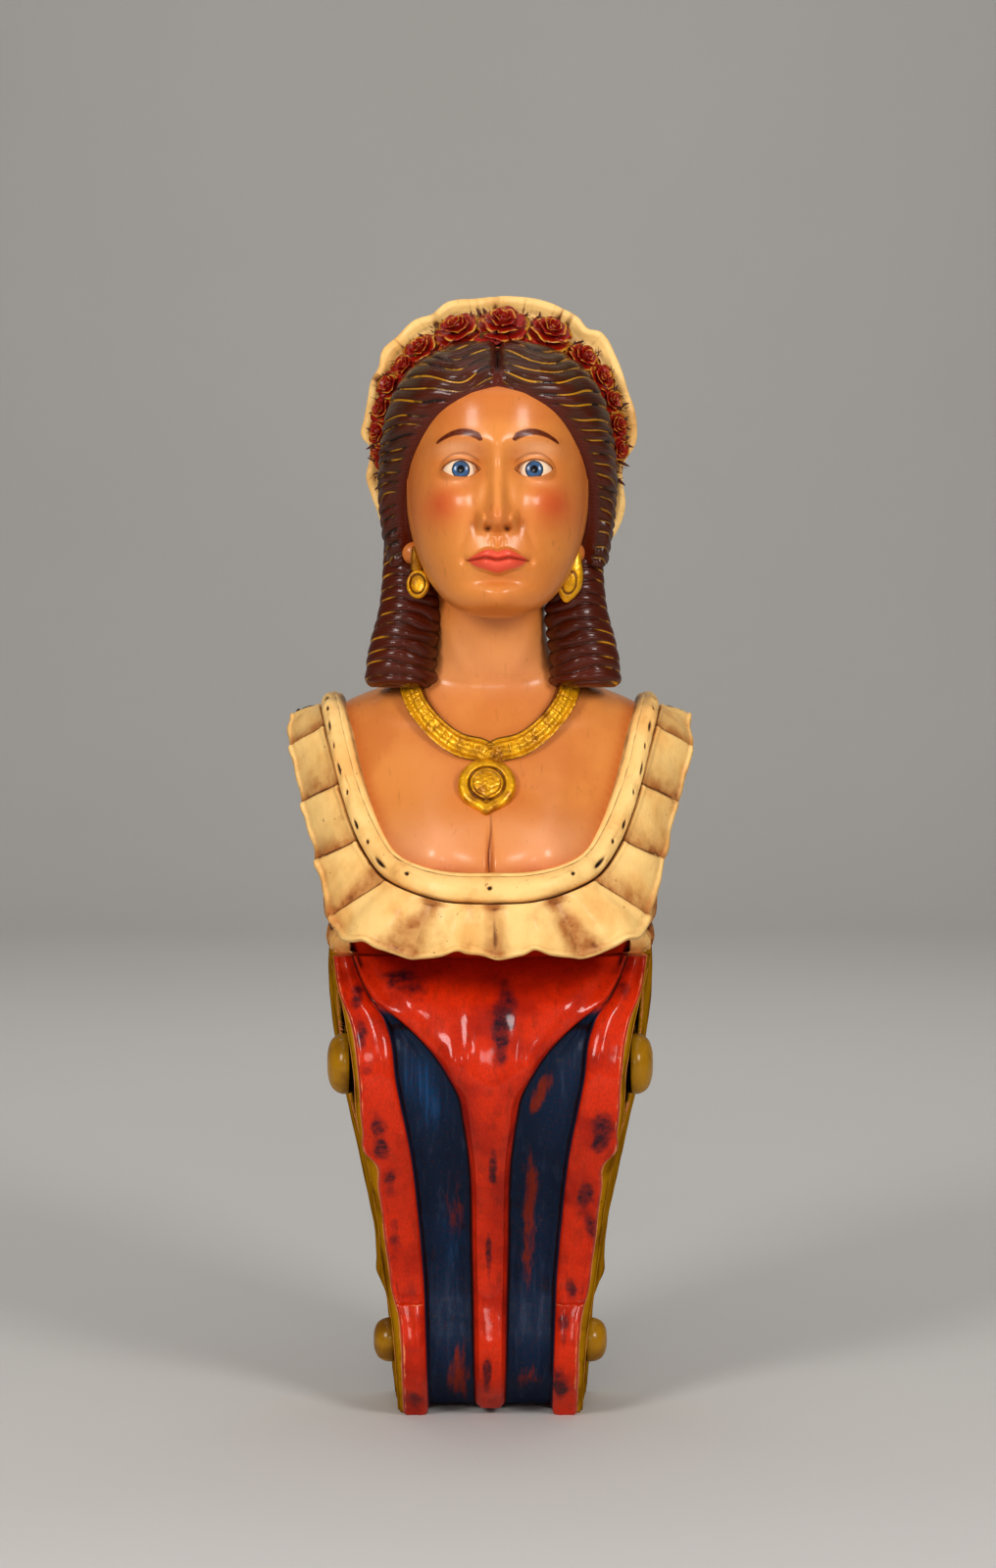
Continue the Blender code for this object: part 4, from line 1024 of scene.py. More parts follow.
def frill_folds(sizes, side, run, hem, b):
    """How far the frill stands out and how far its hem hangs down, then the marks of its
    brown glaze and painted shade, and of its creases.

    Along the shoulder a pleat rises evenly and drops at its end. Across the chest a cosine makes soft waves,
    pinched where they peak. Brown glaze and painted shade lie behind each drop and in the pockets between
    two waves.
    """
    seam_phase, hem_phase = (np.interp(side, ends, np.arange(len(ends))) for ends in PLEATS)
    phase = seam_phase * (1 - b) + hem_phase * b
    share = np.mod(phase, 1)
    one_way = eased(1.72, 2.05, phase)
    ruffle = np.interp(hem[:, :1], RUFFLE, np.arange(len(RUFFLE)))
    wave = 2 * abs(np.cos(math.pi * ruffle)) ** 1.3 - 1
    peak = bump(np.mod(ruffle + 0.5, 1) - 0.5, 0.1) * (side < CHEST)
    wobble = 0.0007 * np.sin(run * 130 + 2 * np.sin(run * 47)) + 0.0003 * np.sin(run * 310)
    pleat = (0.7 * share ** 1.2 + 0.3 * bump(share - 0.9, 0.1)) * eased(1, 0.945, share)
    flute = (wave + 0.15 * np.sin(ruffle * 17)) * (0.25 + 0.75 * b) * eased(0, 0.12, b)
    lift = (0.34 + 0.66 * b) * sizes.pleat_depth * pleat * one_way
    lift = lift + (0.002 + sizes.flute_depth * flute) * (1 - one_way) + wobble * b
    lift = lift + 0.0024 * np.sin(math.pi * b) + 0.001 * bump(b - 0.04, 0.05)
    lift = lift + 0.0014 * bump(b - 0.985, 0.045) - 0.0006 * bump(b - 0.9, 0.04)
    lift = lift + 0.0022 * peak * bump(b - 1, 0.12)
    hang = 0.0008 * (1 - wave) * (side < CHEST) - 0.0026 * peak + wobble
    hang = hang + 0.0026 * ((0.5 - share) * one_way)[:, -1:]
    on_chest = eased(0.36, 0.3, side)
    # Brown glaze and painted shade: behind each drop of a pleat, in the pockets between the waves, at the
    # seam and at the corner.
    tucked = (0.95 * np.exp(-share / 0.22) + 0.1 * eased(0.8, 0, share)) * one_way
    pocket = 0.75 * bump(wave + 1, 0.85) * (0.55 + 0.35 * b) * on_chest
    blot = 0.9 * bump(wave + 1, 1.1) * bump(b, 0.13) * on_chest
    corner = 0.7 * bump(phase - 1, 0.16) * eased(0.05, 0.6, b)
    stain_and_shade = np.clip(tucked + pocket + blot + corner + 0.25 * bump(b - 0.93, 0.03), 0, 1)
    return lift, hang, stain_and_shade, (bump(share, 0.026) + bump(share - 1, 0.016)) * one_way


def collar(sizes):
    """The neckline's band and its deep frill: one section for each step along the neckline.

    A section runs from the neck over the band's roll into the seam, down the frill to its thick hem, and back
    underneath.
    """
    t = np.linspace(-1, 1, 580)
    side = abs(t)[:, None]
    neck, seam_line, hem = (both_ways(stations, t) for stations in (NECKLINE, SEAM, HEM))
    out = unit(np.cross(np.gradient(seam_line, axis=0), hem - neck))
    out *= np.sign(out[:, 1:2] + 1e-9 + (side > 0.75) * out[:, 2:])
    out = unit(spread(out[:, None], 12, False)[:, 0])
    ahead = unit(out + 0.9 * eased(0.3, 0.5, side) * FORWARD)
    fall = unit(hem - seam_line)
    run = np.cumsum(np.linalg.norm(np.gradient(seam_line, axis=0), axis=1))[:, None]
    run -= run[len(run) // 2]
    a = np.linspace(0, 1, 26)[None]  # across the band
    b = np.linspace(0, 1, 37)[None]  # down the frill
    band_lift, pierced = band_relief(t, run, np.linalg.norm(seam_line - neck, axis=1)[:, None], a)
    lift, hang, stain_and_shade, crease = frill_folds(sizes, side, run, hem, b)

    def line(start, stop, share, lift, drop=0):
        """Points at each share of the way from start to stop, lifted outwards and dropped along the fall."""
        share, lift, drop = (np.asarray(value)[..., None] for value in (share, lift, drop))
        way = out[:, None] + (ahead - out)[:, None] * eased(0, 0.3, share) * (stop is hem)
        return start[:, None] * (1 - share) + stop[:, None] * share + lift * way + drop * fall[:, None]

    band = line(neck, seam_line, a, band_lift)
    frill = line(seam_line, hem, b[:, 1:], lift[:, 1:], (hang * b ** 2)[:, 1:])
    turn = np.linspace(0, math.pi, 9)[None, 1:]
    last = lift[:, -1:]
    edge = line(seam_line, hem, np.ones((1, 8)), last - 0.5 * HEM_THICKNESS * (1 - np.cos(turn)),
                hang + 0.0016 * np.sin(turn))
    back = np.linspace(1, 0, 12)[None, 1:]
    under = line(seam_line, hem, back, last * back - HEM_THICKNESS - 0.004 * (1 - back), hang * back)
    behind = line(neck, seam_line, np.linspace(0.7, 0, 5)[None], np.full((1, 5), -0.01))
    points = beside(band, frill, edge, under, behind)
    points += 0.00018 * ripple(points, 210)[..., None] * out[:, None]
    points[..., 0] = np.clip(points[..., 0], LOWEST[0] + MARGIN, HIGHEST[0] - MARGIN)
    points[..., 1] = np.clip(points[..., 1], 0.0006, -LOWEST[1] - MARGIN)

    def whole(on_band, on_frill=0.0, elsewhere=0.0):
        """A mark for the whole section, from its values on the band, on the frill and elsewhere."""
        rest = np.full((len(t), points.shape[1] - band.shape[1] - frill.shape[1]), elsewhere)
        seen = ((on_band, band), (on_frill, frill))
        return beside(*(np.broadcast_to(value, grid.shape[:2]) for value, grid in seen), rest)

    open_cloth = 0.75 - 0.5 * bump(b[:, 1:] - 0.9, 0.06)
    hollow = hollows(points, steps=4, scale=0.00042)[0] * whole(1.0, open_cloth, 1.0)
    creased = 0.6 * crease[:, 1:] + 0.5 * bump(b[:, 1:], 0.02)
    drawn = whole(0.65 * bump(a - 1, 0.035) + 0.5 * bump(a, 0.03), creased, 0.3)
    marks = {"hollow": np.maximum(hollow, drawn), "stain_and_shade": whole(0.25 * bump(a - 1, 0.2), stain_and_shade[:, 1:], 0.3),
             "pierced": whole(pierced), "banded": whole(np.sin(math.pi * a) ** 0.5),
             "run": joined(run, np.linspace(0, 0.09, points.shape[1]), 0)}
    return shell("collar_frill", points, marks, sharp=70)


def side_gathers(side):
    """The gathered cloth under the arm: at every height a row of unequal pleats from the back to the frill,
    drawn in under the arm and bunched into a rolled end above the console."""
    h = np.concatenate([np.linspace(0.306, 0.332, 28), np.linspace(0.332, 0.474, 74)[1:]])[:, None]
    stations = [(0.306, 0.103, 0.7), (0.335, 0.112, 0.8), (0.375, 0.114, 0.92), (0.415, 0.117, 0.86),
                (0.455, 0.119, 0.66), (0.474, 0.114, 0.52)]  # height, half width, share of the way forward
    wide, share = np.moveaxis(through(stations, h), -1, 0)
    f = np.linspace(0, 0.118, 122)[None]
    pleat = 0.0034 * (ridge((f + 0.0016 * np.sin(h * 60 + f * 90)) / 0.0125, 0.7) - 0.5)
    pleat = pleat + 0.0008 * np.sin(f * 930 + h * 30)
    roll = 0.003 * bump(h - 0.3215, 0.006) - 0.0022 * bump(h - 0.3335, 0.0035)
    tuck = 0.0024 * (ridge((h + 0.25 * f) / 0.0105, 0.8) - 0.6) * eased(0.395, 0.375, h) * eased(0.06, 0.1, f)
    forward = f * share
    x = wide + pleat + roll + tuck - 0.012 * (forward / 0.11) ** 2 - 0.01 * eased(0.112, 0.118, f)
    outside = joined(side * x, forward, h)
    inside = outside[:, [-1, 0]]
    inside[..., 0] = side * 0.094
    points = beside(outside, inside)
    points[..., 1] = np.maximum(points[..., 1], 0.0003)
    bare_end = beside(eased(0.08, 0.104, f) + 0 * h, np.ones((len(h), 2)))
    hollow = hollows(points, steps=4, scale=0.00045)[0] * (1 - 0.55 * bare_end)
    hollow = np.maximum(hollow, 0.7 * bump(h - 0.3335, 0.003) * (1 - bare_end))
    # Deeper low down and paler at the rolled front end.
    stain_and_shade = (0.55 + 0.45 * eased(0.38, 0.34, h)) * (1 - 0.7 * bare_end)
    marks = {"hollow": hollow, "stain_and_shade": stain_and_shade, "pierced": 0 * stain_and_shade, "banded": 0 * stain_and_shade,
             "run": points[..., [2, 1, 0]]}
    return shell(f"gathers_{'right' if side > 0 else 'left'}", points, marks)


def necklace(sizes):
    """A flat collar of metal plates between two rails: a section carried along the necklace's line, with a
    groove between plates and a bracket cut in every other one."""
    t = np.linspace(-1, 1, 380)
    path = both_ways(NECKLACE_LINE, t)
    path[:, 2] -= 0.003 * bump(t, 0.055)
    out = unit(np.array([0, 1, 0.25]) + path * np.array([6, 0, 0]))
    across = unit(np.cross(unit(np.gradient(path, axis=0)), out))
    profile = rounded([(-1, -0.006), (-1.02, 0.0006), (-0.93, 0.0026), (-0.76, 0.0032), (-0.66, 0.0024),
                       (-0.6, 0.0021), (0, 0.0028), (0.5, 0.0021), (0.58, 0.0022), (0.7, 0.0036),
                       (0.88, 0.0034), (1.02, 0.0008), (1, -0.006)], 42)
    where, lift = profile[None, :, 0], profile[None, :, 1]
    plate = np.cumsum(np.linalg.norm(np.gradient(path, axis=0), axis=1))[:, None] / sizes.plate_pitch
    groove = 0.0006 * bump(np.mod(plate + 0.5, 1) - 0.5, 0.045) * eased(0.6, 0.5, abs(where + 0.05))
    upright = bump(np.mod(plate, 2) - 0.62, 0.07) * eased(0.34, 0.26, abs(where))
    arms = bump(abs(where) - 0.28, 0.05) * eased(0.26, 0.18, abs(np.mod(plate, 2) - 0.85))
    cut = groove + 0.0003 * np.maximum(upright, arms)
    half = 0.0076 - 0.0006 * abs(t)[:, None]
    offset = lift - cut + 0.00022 * ripple(path[:, None] + where[..., None] * 0.004, 700) * (lift > 0)
    points = path[:, None] + (where * half)[..., None] * across[:, None] + offset[..., None] * out[:, None]
    hollow, crest = hollows(points, steps=2, scale=0.00022)
    return shell("necklace", points, {"hollow": np.maximum(hollow, cut / 0.0012), "crest": crest})


def pendant():
    """A round medal: a rim, a sunk ring and a beaten boss, turned on its axis and drawn down
    to a small point."""
    profile = [(0.0185, -0.01), (0.019, -0.002), (0.019, 0.003), (0.0182, 0.0052), (0.0165, 0.0062),
               (0.0142, 0.0064), (0.0128, 0.006), (0.0121, 0.0046), (0.0114, 0.0046), (0.0108, 0.0062),
               (0.0098, 0.0068), (0.0088, 0.0058), (0.007, 0.006), (0.004, 0.0066), (0.0004, 0.0068)]

    def reach(turn):
        """A bell round the turn at which the medal hangs down."""
        return 1 + 0.16 * bump(np.mod(turn - POINT + math.pi, 2 * math.pi) - math.pi, 0.2)

    points = turned(PENDANT_AT, PENDANT_AXIS, rounded(profile, 68), 104, reach)
    inside = np.linalg.norm(np.cross(points - PENDANT_AT, PENDANT_AXIS), axis=-1)
    beaten = 0.00035 * ripple(points, 900) * eased(0.0105, 0.0085, inside) + 0.0001 * ripple(points, 500, 2)
    points += beaten[..., None] * PENDANT_AXIS
    hollow, crest = hollows(points, steps=3, scale=0.00028)
    rings = 0.9 * (bump(inside - 0.0117, 0.0009) + 0.6 * bump(inside - 0.0088, 0.0007))
    rings = rings * (points[..., 1] > 0.13)
    return shell("pendant", points, {"hollow": np.maximum(hollow, rings), "crest": crest})


# ---------------------------------------------------------------- head

HEAD_AT = np.array([0.005, 0.11, 0.632])  # x, f, h of the head's middle, level with the eyes
EYE_ACROSS = 0.0236  # half the distance between the eyes
EYE_FORWARD = 0.0525  # how far forward of the head's middle each eyeball's middle is
EYEBALL = 0.0132
LID = 0.0016  # thickness of the eyelids
EYE_HALF_WIDTH = 0.0124
MOUTH_HALF_WIDTH = 0.02
MOUTH_HEIGHT = -0.0592


def in_head(points, tilt):
    """Head coordinates (x, forward, up from the eyes), turned about x by the tilt and moved
    to their place."""
    x, f, h = points[..., 0], points[..., 1], points[..., 2]
    cos, sin = math.cos(tilt), math.sin(tilt)
    return np.stack([x, f * cos - h * sin, h * cos + f * sin], axis=-1) + HEAD_AT


def lid_edges(side):
    """Heights of the upper and lower lid's edges: two flat arches that meet at the eye's corners."""
    across = np.clip((side - EYE_ACROSS) / EYE_HALF_WIDTH, -1, 1)
    slant = 0.0006 * across
    upper, lower = (np.clip(1 - abs(across) ** power, 0, 1) for power in (2.2, 2.4))
    return 0.0062 * upper ** 0.85 + slant, -0.0048 * lower + slant


def lip_edges(side):
    """Heights of the upper lip's top, of the line between the lips and of the lower lip's bottom."""
    across = np.clip(side / MOUTH_HALF_WIDTH, 0, 1)
    middle = MOUTH_HEIGHT - 0.0007 * bump(side, 0.0045) + 0.0007 * bump(side - 0.008, 0.005)
    top = middle + 0.0066 * np.clip(1 - across ** 1.6, 0, 1) ** 0.9 - 0.0013 * bump(side, 0.0028)
    bottom = middle - 0.0082 * np.clip(1 - (side / (0.93 * MOUTH_HALF_WIDTH)) ** 2.2, 0, 1) ** 0.75
    return top, middle, bottom


def nose_relief(side, h):
    """A ridge that follows the bridge's profile, with a wing on each side, pinched behind and
    pierced below."""
    profile = millimetres((-44, 0), (-41.8, 2.2), (-38.5, 11), (-34.5, 15), (-30, 14.8), (-22, 11.8),
                          (-12, 8.2), (-2, 5.4), (8, 3.2), (16, 1.6), (26, 0))
    bridge = through(profile, np.clip(h * 1000, -44, 26))
    slim = 0.0054 + 0.0022 * bump(h + 0.0335, 0.0095) + 0.0012 * eased(-0.01, 0.012, h)
    nose = bridge * np.exp(-((side / slim) ** 2.4))
    wings = bells(side, h, (0.0082, 9.2, 3.9, -34.2, 5))
    holes = bells(side, h, (-0.0016, 14.2, 2.2, -34.5, 6), (-0.0055, 5.8, 2.2, -39.2, 1.9))
    return np.maximum(nose, wings) + 0.35 * np.minimum(nose, wings) + holes


def lip_relief(side, h):
    """Two rounded lips between their edges, thin towards the corners, with a sharp line where they meet."""
    top, middle, bottom = lip_edges(side)
    upper = (h - 0.45 * top - 0.55 * middle) / (0.62 * (top - middle) + 0.0012)
    lower = (h - 0.48 * bottom - 0.52 * middle) / (0.58 * (middle - bottom) + 0.001)
    full = np.where(h >= middle, 0.004 * np.clip(1 - upper ** 2, 0, 1) ** 0.7,
                    0.0052 * np.clip(1 - lower ** 2, 0, 1) ** 0.7)
    share = side / MOUTH_HALF_WIDTH
    lips = full * eased(0, 0.004, MOUTH_HALF_WIDTH - side) * eased(1.05, 0.35, share)
    return lips - 0.0026 * bump(h - middle, 0.0009) * eased(1.12, 0.9, share)


def lid_relief(side, h, face):
    """The face with a lid over each eyeball, a sphere creased above the eye, which is open
    between its edges."""
    upper_edge, lower_edge = lid_edges(side)
    apart = side - EYE_ACROSS
    share = abs(apart) / EYE_HALF_WIDTH
    ball = (EYEBALL + LID) ** 2 - apart ** 2 - h ** 2
    lid = EYE_FORWARD + np.sqrt(np.clip(ball, 0, None)) - 0.03 * (ball <= 0)
    crease = -0.0011 * bump(h - upper_edge - 0.0042, 0.0009) * eased(1.05, 0.75, share)
    rim = 0.0005 * (bump(h - upper_edge - 0.0007, 0.0008) + bump(h - lower_edge + 0.0007, 0.0008))
    lid = lid + crease + rim * eased(1, 0.8, share)
    soft = 0.0016  # how far off the join of lid and face is smoothed
    face = np.maximum(face, lid) + 0.25 * soft * np.clip(1 - abs(face - lid) / soft, 0, 1) ** 2
    open_eye = eased(0, 0.0005, upper_edge - h) * eased(0, 0.0005, h - lower_edge) * (share < 1)
    return face - 0.0046 * open_eye, open_eye


def face_relief(x, h, plain):
    """The face: the head's plain egg plus brow, sockets, cheeks, nose, lips and chin, each a bell curve or a
    product of two; over it, lids as a sphere round each eyeball, open between the edges of the lids."""
    side = abs(x)
    brow = 0.0028 * bump(side - 0.025, 0.019) * bump(h - 0.0185 + 8 * (side - 0.024) ** 2, 0.0062)
    flank = 0.003 * bump(side - 0.009, 0.0065) * eased(-0.04, -0.026, h) * eased(0.006, -0.012, h)
    laughter = -0.0008 * bump(side - 0.0185 - 0.35 * np.clip(-h - 0.036, 0, 1), 0.003) * bump(h + 0.043, 0.01)
    soft = bells(side, h,
                 (-0.0078, 21.5, 15, 2.5, 12.5),  # sockets
                 (0.0016, 0, 10, 18, 9),  # between the brows
                 (0.004, 31.5, 15, -22.5, 16.5),  # cheeks
                 (-0.0022, 50, 10, 16, 22),  # temples
                 (0.0034, 0, 20, -57, 16),  # swell behind the lips
                 (-0.002, 21.2, 2.6, MOUTH_HEIGHT * 1000, 3),  # corners of the mouth
                 (-0.0012, 0, 2.6, -47.5, 5),  # groove under the nose
                 (0.0007, 4, 2, -47.5, 5),  # the groove's sides
                 (-0.0026, 0, 15, -72.2, 3.8),  # fold over the chin
                 (0.0042, 0, 13, -83.5, 8))  # chin
    face = plain + brow + flank + laughter + soft + lip_relief(side, h) + nose_relief(side, h)
    return lid_relief(side, h, face)


def face_marks(x, h, open_eye):
    """Where the face is painted: lips between their edges, brows along an arch that tapers outwards, a lash
    line on the upper lid, pale lids, blush on the cheeks, painted shade between the lips and in the nostrils,
    and painted shade round the features, on the face's sides, under the jaw and on the forehead."""
    side = abs(x)
    top, middle, bottom = lip_edges(side)
    mouth = side / MOUTH_HALF_WIDTH
    lips = eased(0.0004, -0.0004, h - top) * eased(-0.0004, 0.0004, h - bottom) * eased(1, 0.94, mouth)
    share = np.clip((side - 0.0095) / 0.03, 0, 1)
    arch = 0.0178 + 0.0066 * np.sin(math.pi * share ** 0.85 * 0.8) - 0.004 * share ** 2
    thick = (0.0025 - 0.0014 * share ** 1.5) * eased(-0.0006, 0.0022, side - 0.0095)
    thick = thick * eased(0.04, 0.0385, side)
    brow = eased(1.25, 0.8, abs(h - arch) / np.maximum(thick, 1e-5))
    upper_edge, lower_edge = lid_edges(side)
    across = abs(side - EYE_ACROSS) / EYE_HALF_WIDTH
    # Lash and lid lines, with painted shade between the lips and in the nostrils.
    lines = (0.8 * bump(h - upper_edge - 0.0002, 0.00055) * eased(1.06, 0.96, across),  # lashes
             0.45 * bump(h - upper_edge - 0.0043, 0.0007) * eased(1.1, 0.85, across),  # crease of the lid
             0.35 * bump(h - lower_edge + 0.0002, 0.0005) * eased(1, 0.9, across),  # lower lid
             0.75 * bump(h - middle, 0.00055) * eased(1.06, 0.9, mouth),  # between the lips
             bells(side, h, (0.8, 5.8, 2, -39.4, 1.6)))  # nostrils
    pale = bells(side, h, (0.6, 26, 11.5, 13.5, 4), (0.25, 26, 10, -8.5, 3))
    pale = pale + 0.35 * bump(across, 0.9) * bump(h - 0.0085, 0.002)
    blush = bells(side, h, (1, 37, 13.5, -23, 13), (0.35, 0, 8.5, -33, 7))
    # Painted shade round the features, on the face's sides, under the jaw and on the forehead.
    shade = bells(side, h, (0.55, 0, 13, -72.5, 3), (0.6, 15, 3, -36, 7), (0.6, 12.5, 4.5, 6, 8),
                  (0.45, 0, 10, -44.5, 2.5))
    shade = shade + 0.6 * eased(0.046, 0.058, side) + 0.6 * eased(-0.08, -0.092, h)
    shade = shade + 0.5 * eased(0.048, 0.062, h) + 0.55 * eased(0.024, 0.036, h)
    return {"lips": lips, "brow": brow, "line": np.maximum.reduce(lines) * (1 - 0.5 * open_eye),
            "pale": pale * (1 - brow), "blush": blush, "shade": shade}


def head(sizes):
    """The head: level ovals from crown to chin, with the face's relief on their front."""
    stations = millimetres(  # share down from the crown; height, half width, front, middle, back
        (0, 95.5, 12, 20, 4, -14), (0.06, 88, 34, 46, 2, -36), (0.14, 72, 50, 63, 0, -56),
        (0.24, 50, 58, 72.5, 0, -68), (0.34, 30, 60.5, 75.5, 0, -72), (0.44, 10, 61, 74.5, 0, -73),
        (0.54, -10, 60.5, 72.5, 0, -70), (0.64, -30, 58, 72, 0, -62), (0.72, -45, 54, 72.2, 3, -48),
        (0.8, -60, 48.2, 72, 10, -30), (0.86, -71, 42, 70.5, 20, -10), (0.92, -82, 33, 69, 32, 10),
        (0.97, -89.5, 22, 62.5, 40, 24), (1, -93, 11, 53, 44, 35))
    down = np.concatenate([np.linspace(0, 0.3, 18), np.linspace(0.3, 0.975, 232)[1:],
                           np.linspace(0.975, 1, 7)[1:]])
    h, wide, front, middle, back = (column[:, None] for column in through(stations, down).T)
    front = front - 0.02 * eased(0.048, 0.075, h) - 0.009 * eased(0.054, 0.07, h)  # kept below the hair
    h = h - 0.25 * np.maximum(h - 0.062, 0)
    turn = np.concatenate([np.linspace(-1.35, 1.35, 234),
                           np.linspace(1.35, 2 * math.pi - 1.35, 24)[1:-1]])[None]
    cos, sin = np.cos(turn), np.sin(turn)
    x = wide * np.sign(sin) * abs(sin) ** 0.97
    reach = np.where(cos > 0, front - middle, middle - back)
    plain = middle + reach * np.sign(cos) * abs(cos) ** 0.9
    ahead = eased(0.05, 0.4, cos)
    face, open_eye = face_relief(x, h, plain)
    points = in_head(joined(x, plain + (face - plain) * ahead, h), sizes.head_tilt)
    marks = face_marks(x, h, open_eye)
    marks = {label: np.clip(values * ahead, 0, 1) for label, values in marks.items()}
    marks["hollow"] = hollows(points, steps=3, scale=0.00055)[0] * ahead
    marks["bodice"] = 0 * x
    return shell("head", points, marks)


def eyeballs(sizes):
    """Two balls, each turned about the line of sight, with the angle from that line as their mark."""
    grids, gaze = [], []
    around = np.linspace(0, 2 * math.pi, 56, endpoint=False)[None]
    away = (math.pi * np.linspace(0.002, 0.75, 96))[:, None]
    bulge = EYEBALL + 0.0005 * eased(0.5, 0.3, away)
    level = bulge * np.sin(away)
    ring = joined(level * np.cos(around), bulge * np.cos(away), level * np.sin(around))
    for side in SIDES:
        grids.append(in_head(ring + np.array([side * EYE_ACROSS, EYE_FORWARD, 0]), sizes.head_tilt))
        gaze.append(away / math.pi + 0 * around)
    return shell("eyes", grids, {"gaze": gaze})


def ears():
    """The lobes below the hair: small swelling domes that face forward."""
    profile = rounded([(0.008, -0.02), (0.0084, 0), (0.008, 0.005), (0.0062, 0.009), (0.0036, 0.0112),
                       (0.0004, 0.0118)], 24)
    roots = zip(SIDES, (-0.0505, 0.0545))
    grids = [turned((x, 0.1, 0.5865), (side * 0.2, 1, 0), profile, 40) for side, x in roots]
    plain = [0 * grid[..., 0] for grid in grids]
    marks = dict.fromkeys(("blush", "pale", "lips", "line", "brow", "bodice", "hollow"), plain)
    # The whole lobe takes half the painted shade, under the hair.
    return shell("ear_lobes", grids, {"shade": [0.5 + value for value in plain], **marks})


def earrings():
    """Two gilt earrings that do not match: on one side an oval dished disc under a tapered bar, on the other
    a long leaning drop with a loop engraved in its face."""
    oval = 1.28  # the disc's height over its width
    fall = np.linspace(0, 1, 60)
    path = joined(-0.05 + 0.0015 * fall, 0.119, 0.5905 - 0.0165 * fall)
    shut = np.clip(np.minimum(fall, 1 - fall) / 0.06, 0.05, 1) ** 0.5
    bar = sweep(path, (0.0016 + 0.0024 * fall) * shut, 0.0022 * shut, 32)
    dish = rounded([(0.005, -0.003), (0.0068, -0.0022), (0.0076, 0), (0.007, 0.0022), (0.006, 0.0026),
                    (0.005, 0.0018), (0.003, 0.001), (0.0004, 0.0008)], 36)
    middle = np.array([-0.0475, 0.12, 0.5655])
    disc = turned(middle, (-0.1, 1, 0.1), dish, 52,
                  lambda turn: 1 / np.hypot(np.cos(turn), np.sin(turn) / oval))
    inside = np.linalg.norm((disc - middle) / np.array([1, 1, oval]), axis=-1)
    ring = 0.9 * bump(inside - 0.0052, 0.0008) * (disc[..., 1] > 0.1205)
    fall = np.linspace(0, 1, 110)
    path = joined(0.0565 - 0.0065 * fall, 0.119, 0.592 - 0.0385 * fall)
    girth = 0.0084 * np.sin((0.16 + 0.84 * fall) ** 1.75 * math.pi * 0.985) ** 0.8 + 0.0004
    drop = sweep(path, girth, 0.5 * girth, 64)
    across = (drop[..., 0] - path[:, None, 0]) / 0.0046
    loop = bump(np.hypot(across, (fall[:, None] - 0.66) / 0.19) - 1, 0.16) * (drop[..., 1] > 0.119)
    drop[..., 1] -= 0.0007 * loop
    hollow = [0.5 * shut[:, None] + 0 * bar[..., 0], ring, 0.9 * loop]
    return shell("earrings", [bar, disc, drop], {"hollow": hollow})


# ---------------------------------------------------------------- hair

HAIRLINE = millimetres(  # from the parting down to the ear: share, then x from the head's middle, h, f
    (0, 0, 683, 173.5), (0.15, 18.5, 677, 170), (0.3, 34, 668, 161), (0.45, 46.5, 655, 149),
    (0.6, 55, 638.5, 135), (0.75, 59.5, 618.5, 121), (0.9, 59, 597, 110), (1, 56, 580, 103))
GARLAND_LINE = millimetres(  # where the hair goes under the garland
    (0, 0, 726.5, 106), (0.15, 23, 724, 105), (0.3, 44, 717.5, 103), (0.45, 59.5, 705, 99),
    (0.6, 69, 683, 95), (0.75, 73, 654, 91), (0.9, 73.5, 620, 88), (1, 71, 585, 84))


def hair_wave(sizes, x, h, across):
    """The waves' phase: it grows with the height, bent to sweep out from the parting and fan
    at the temples."""
    side = abs(x)
    sweep_out = 0.011 * eased(-0.004, 0.026, side)
    sweep_out = sweep_out - 0.005 * eased(0.028, 0.058, side) * eased(0.672, 0.695, h)
    fan = through([(0.55, 0.012), (0.6, 0.012), (0.64, 0.014), (0.66, 0.01), (0.68, 0.003), (0.7, 0),
                   (0.75, 0)], h)
    jitter = 0.001 * np.sin(x * 190 + h * 90) + 0.0007 * np.sin(h * 320 + np.sign(x))
    return (h + sweep_out + fan * (across - 0.4) + jitter) / sizes.wave_pitch + 0.3 * (x > 0)


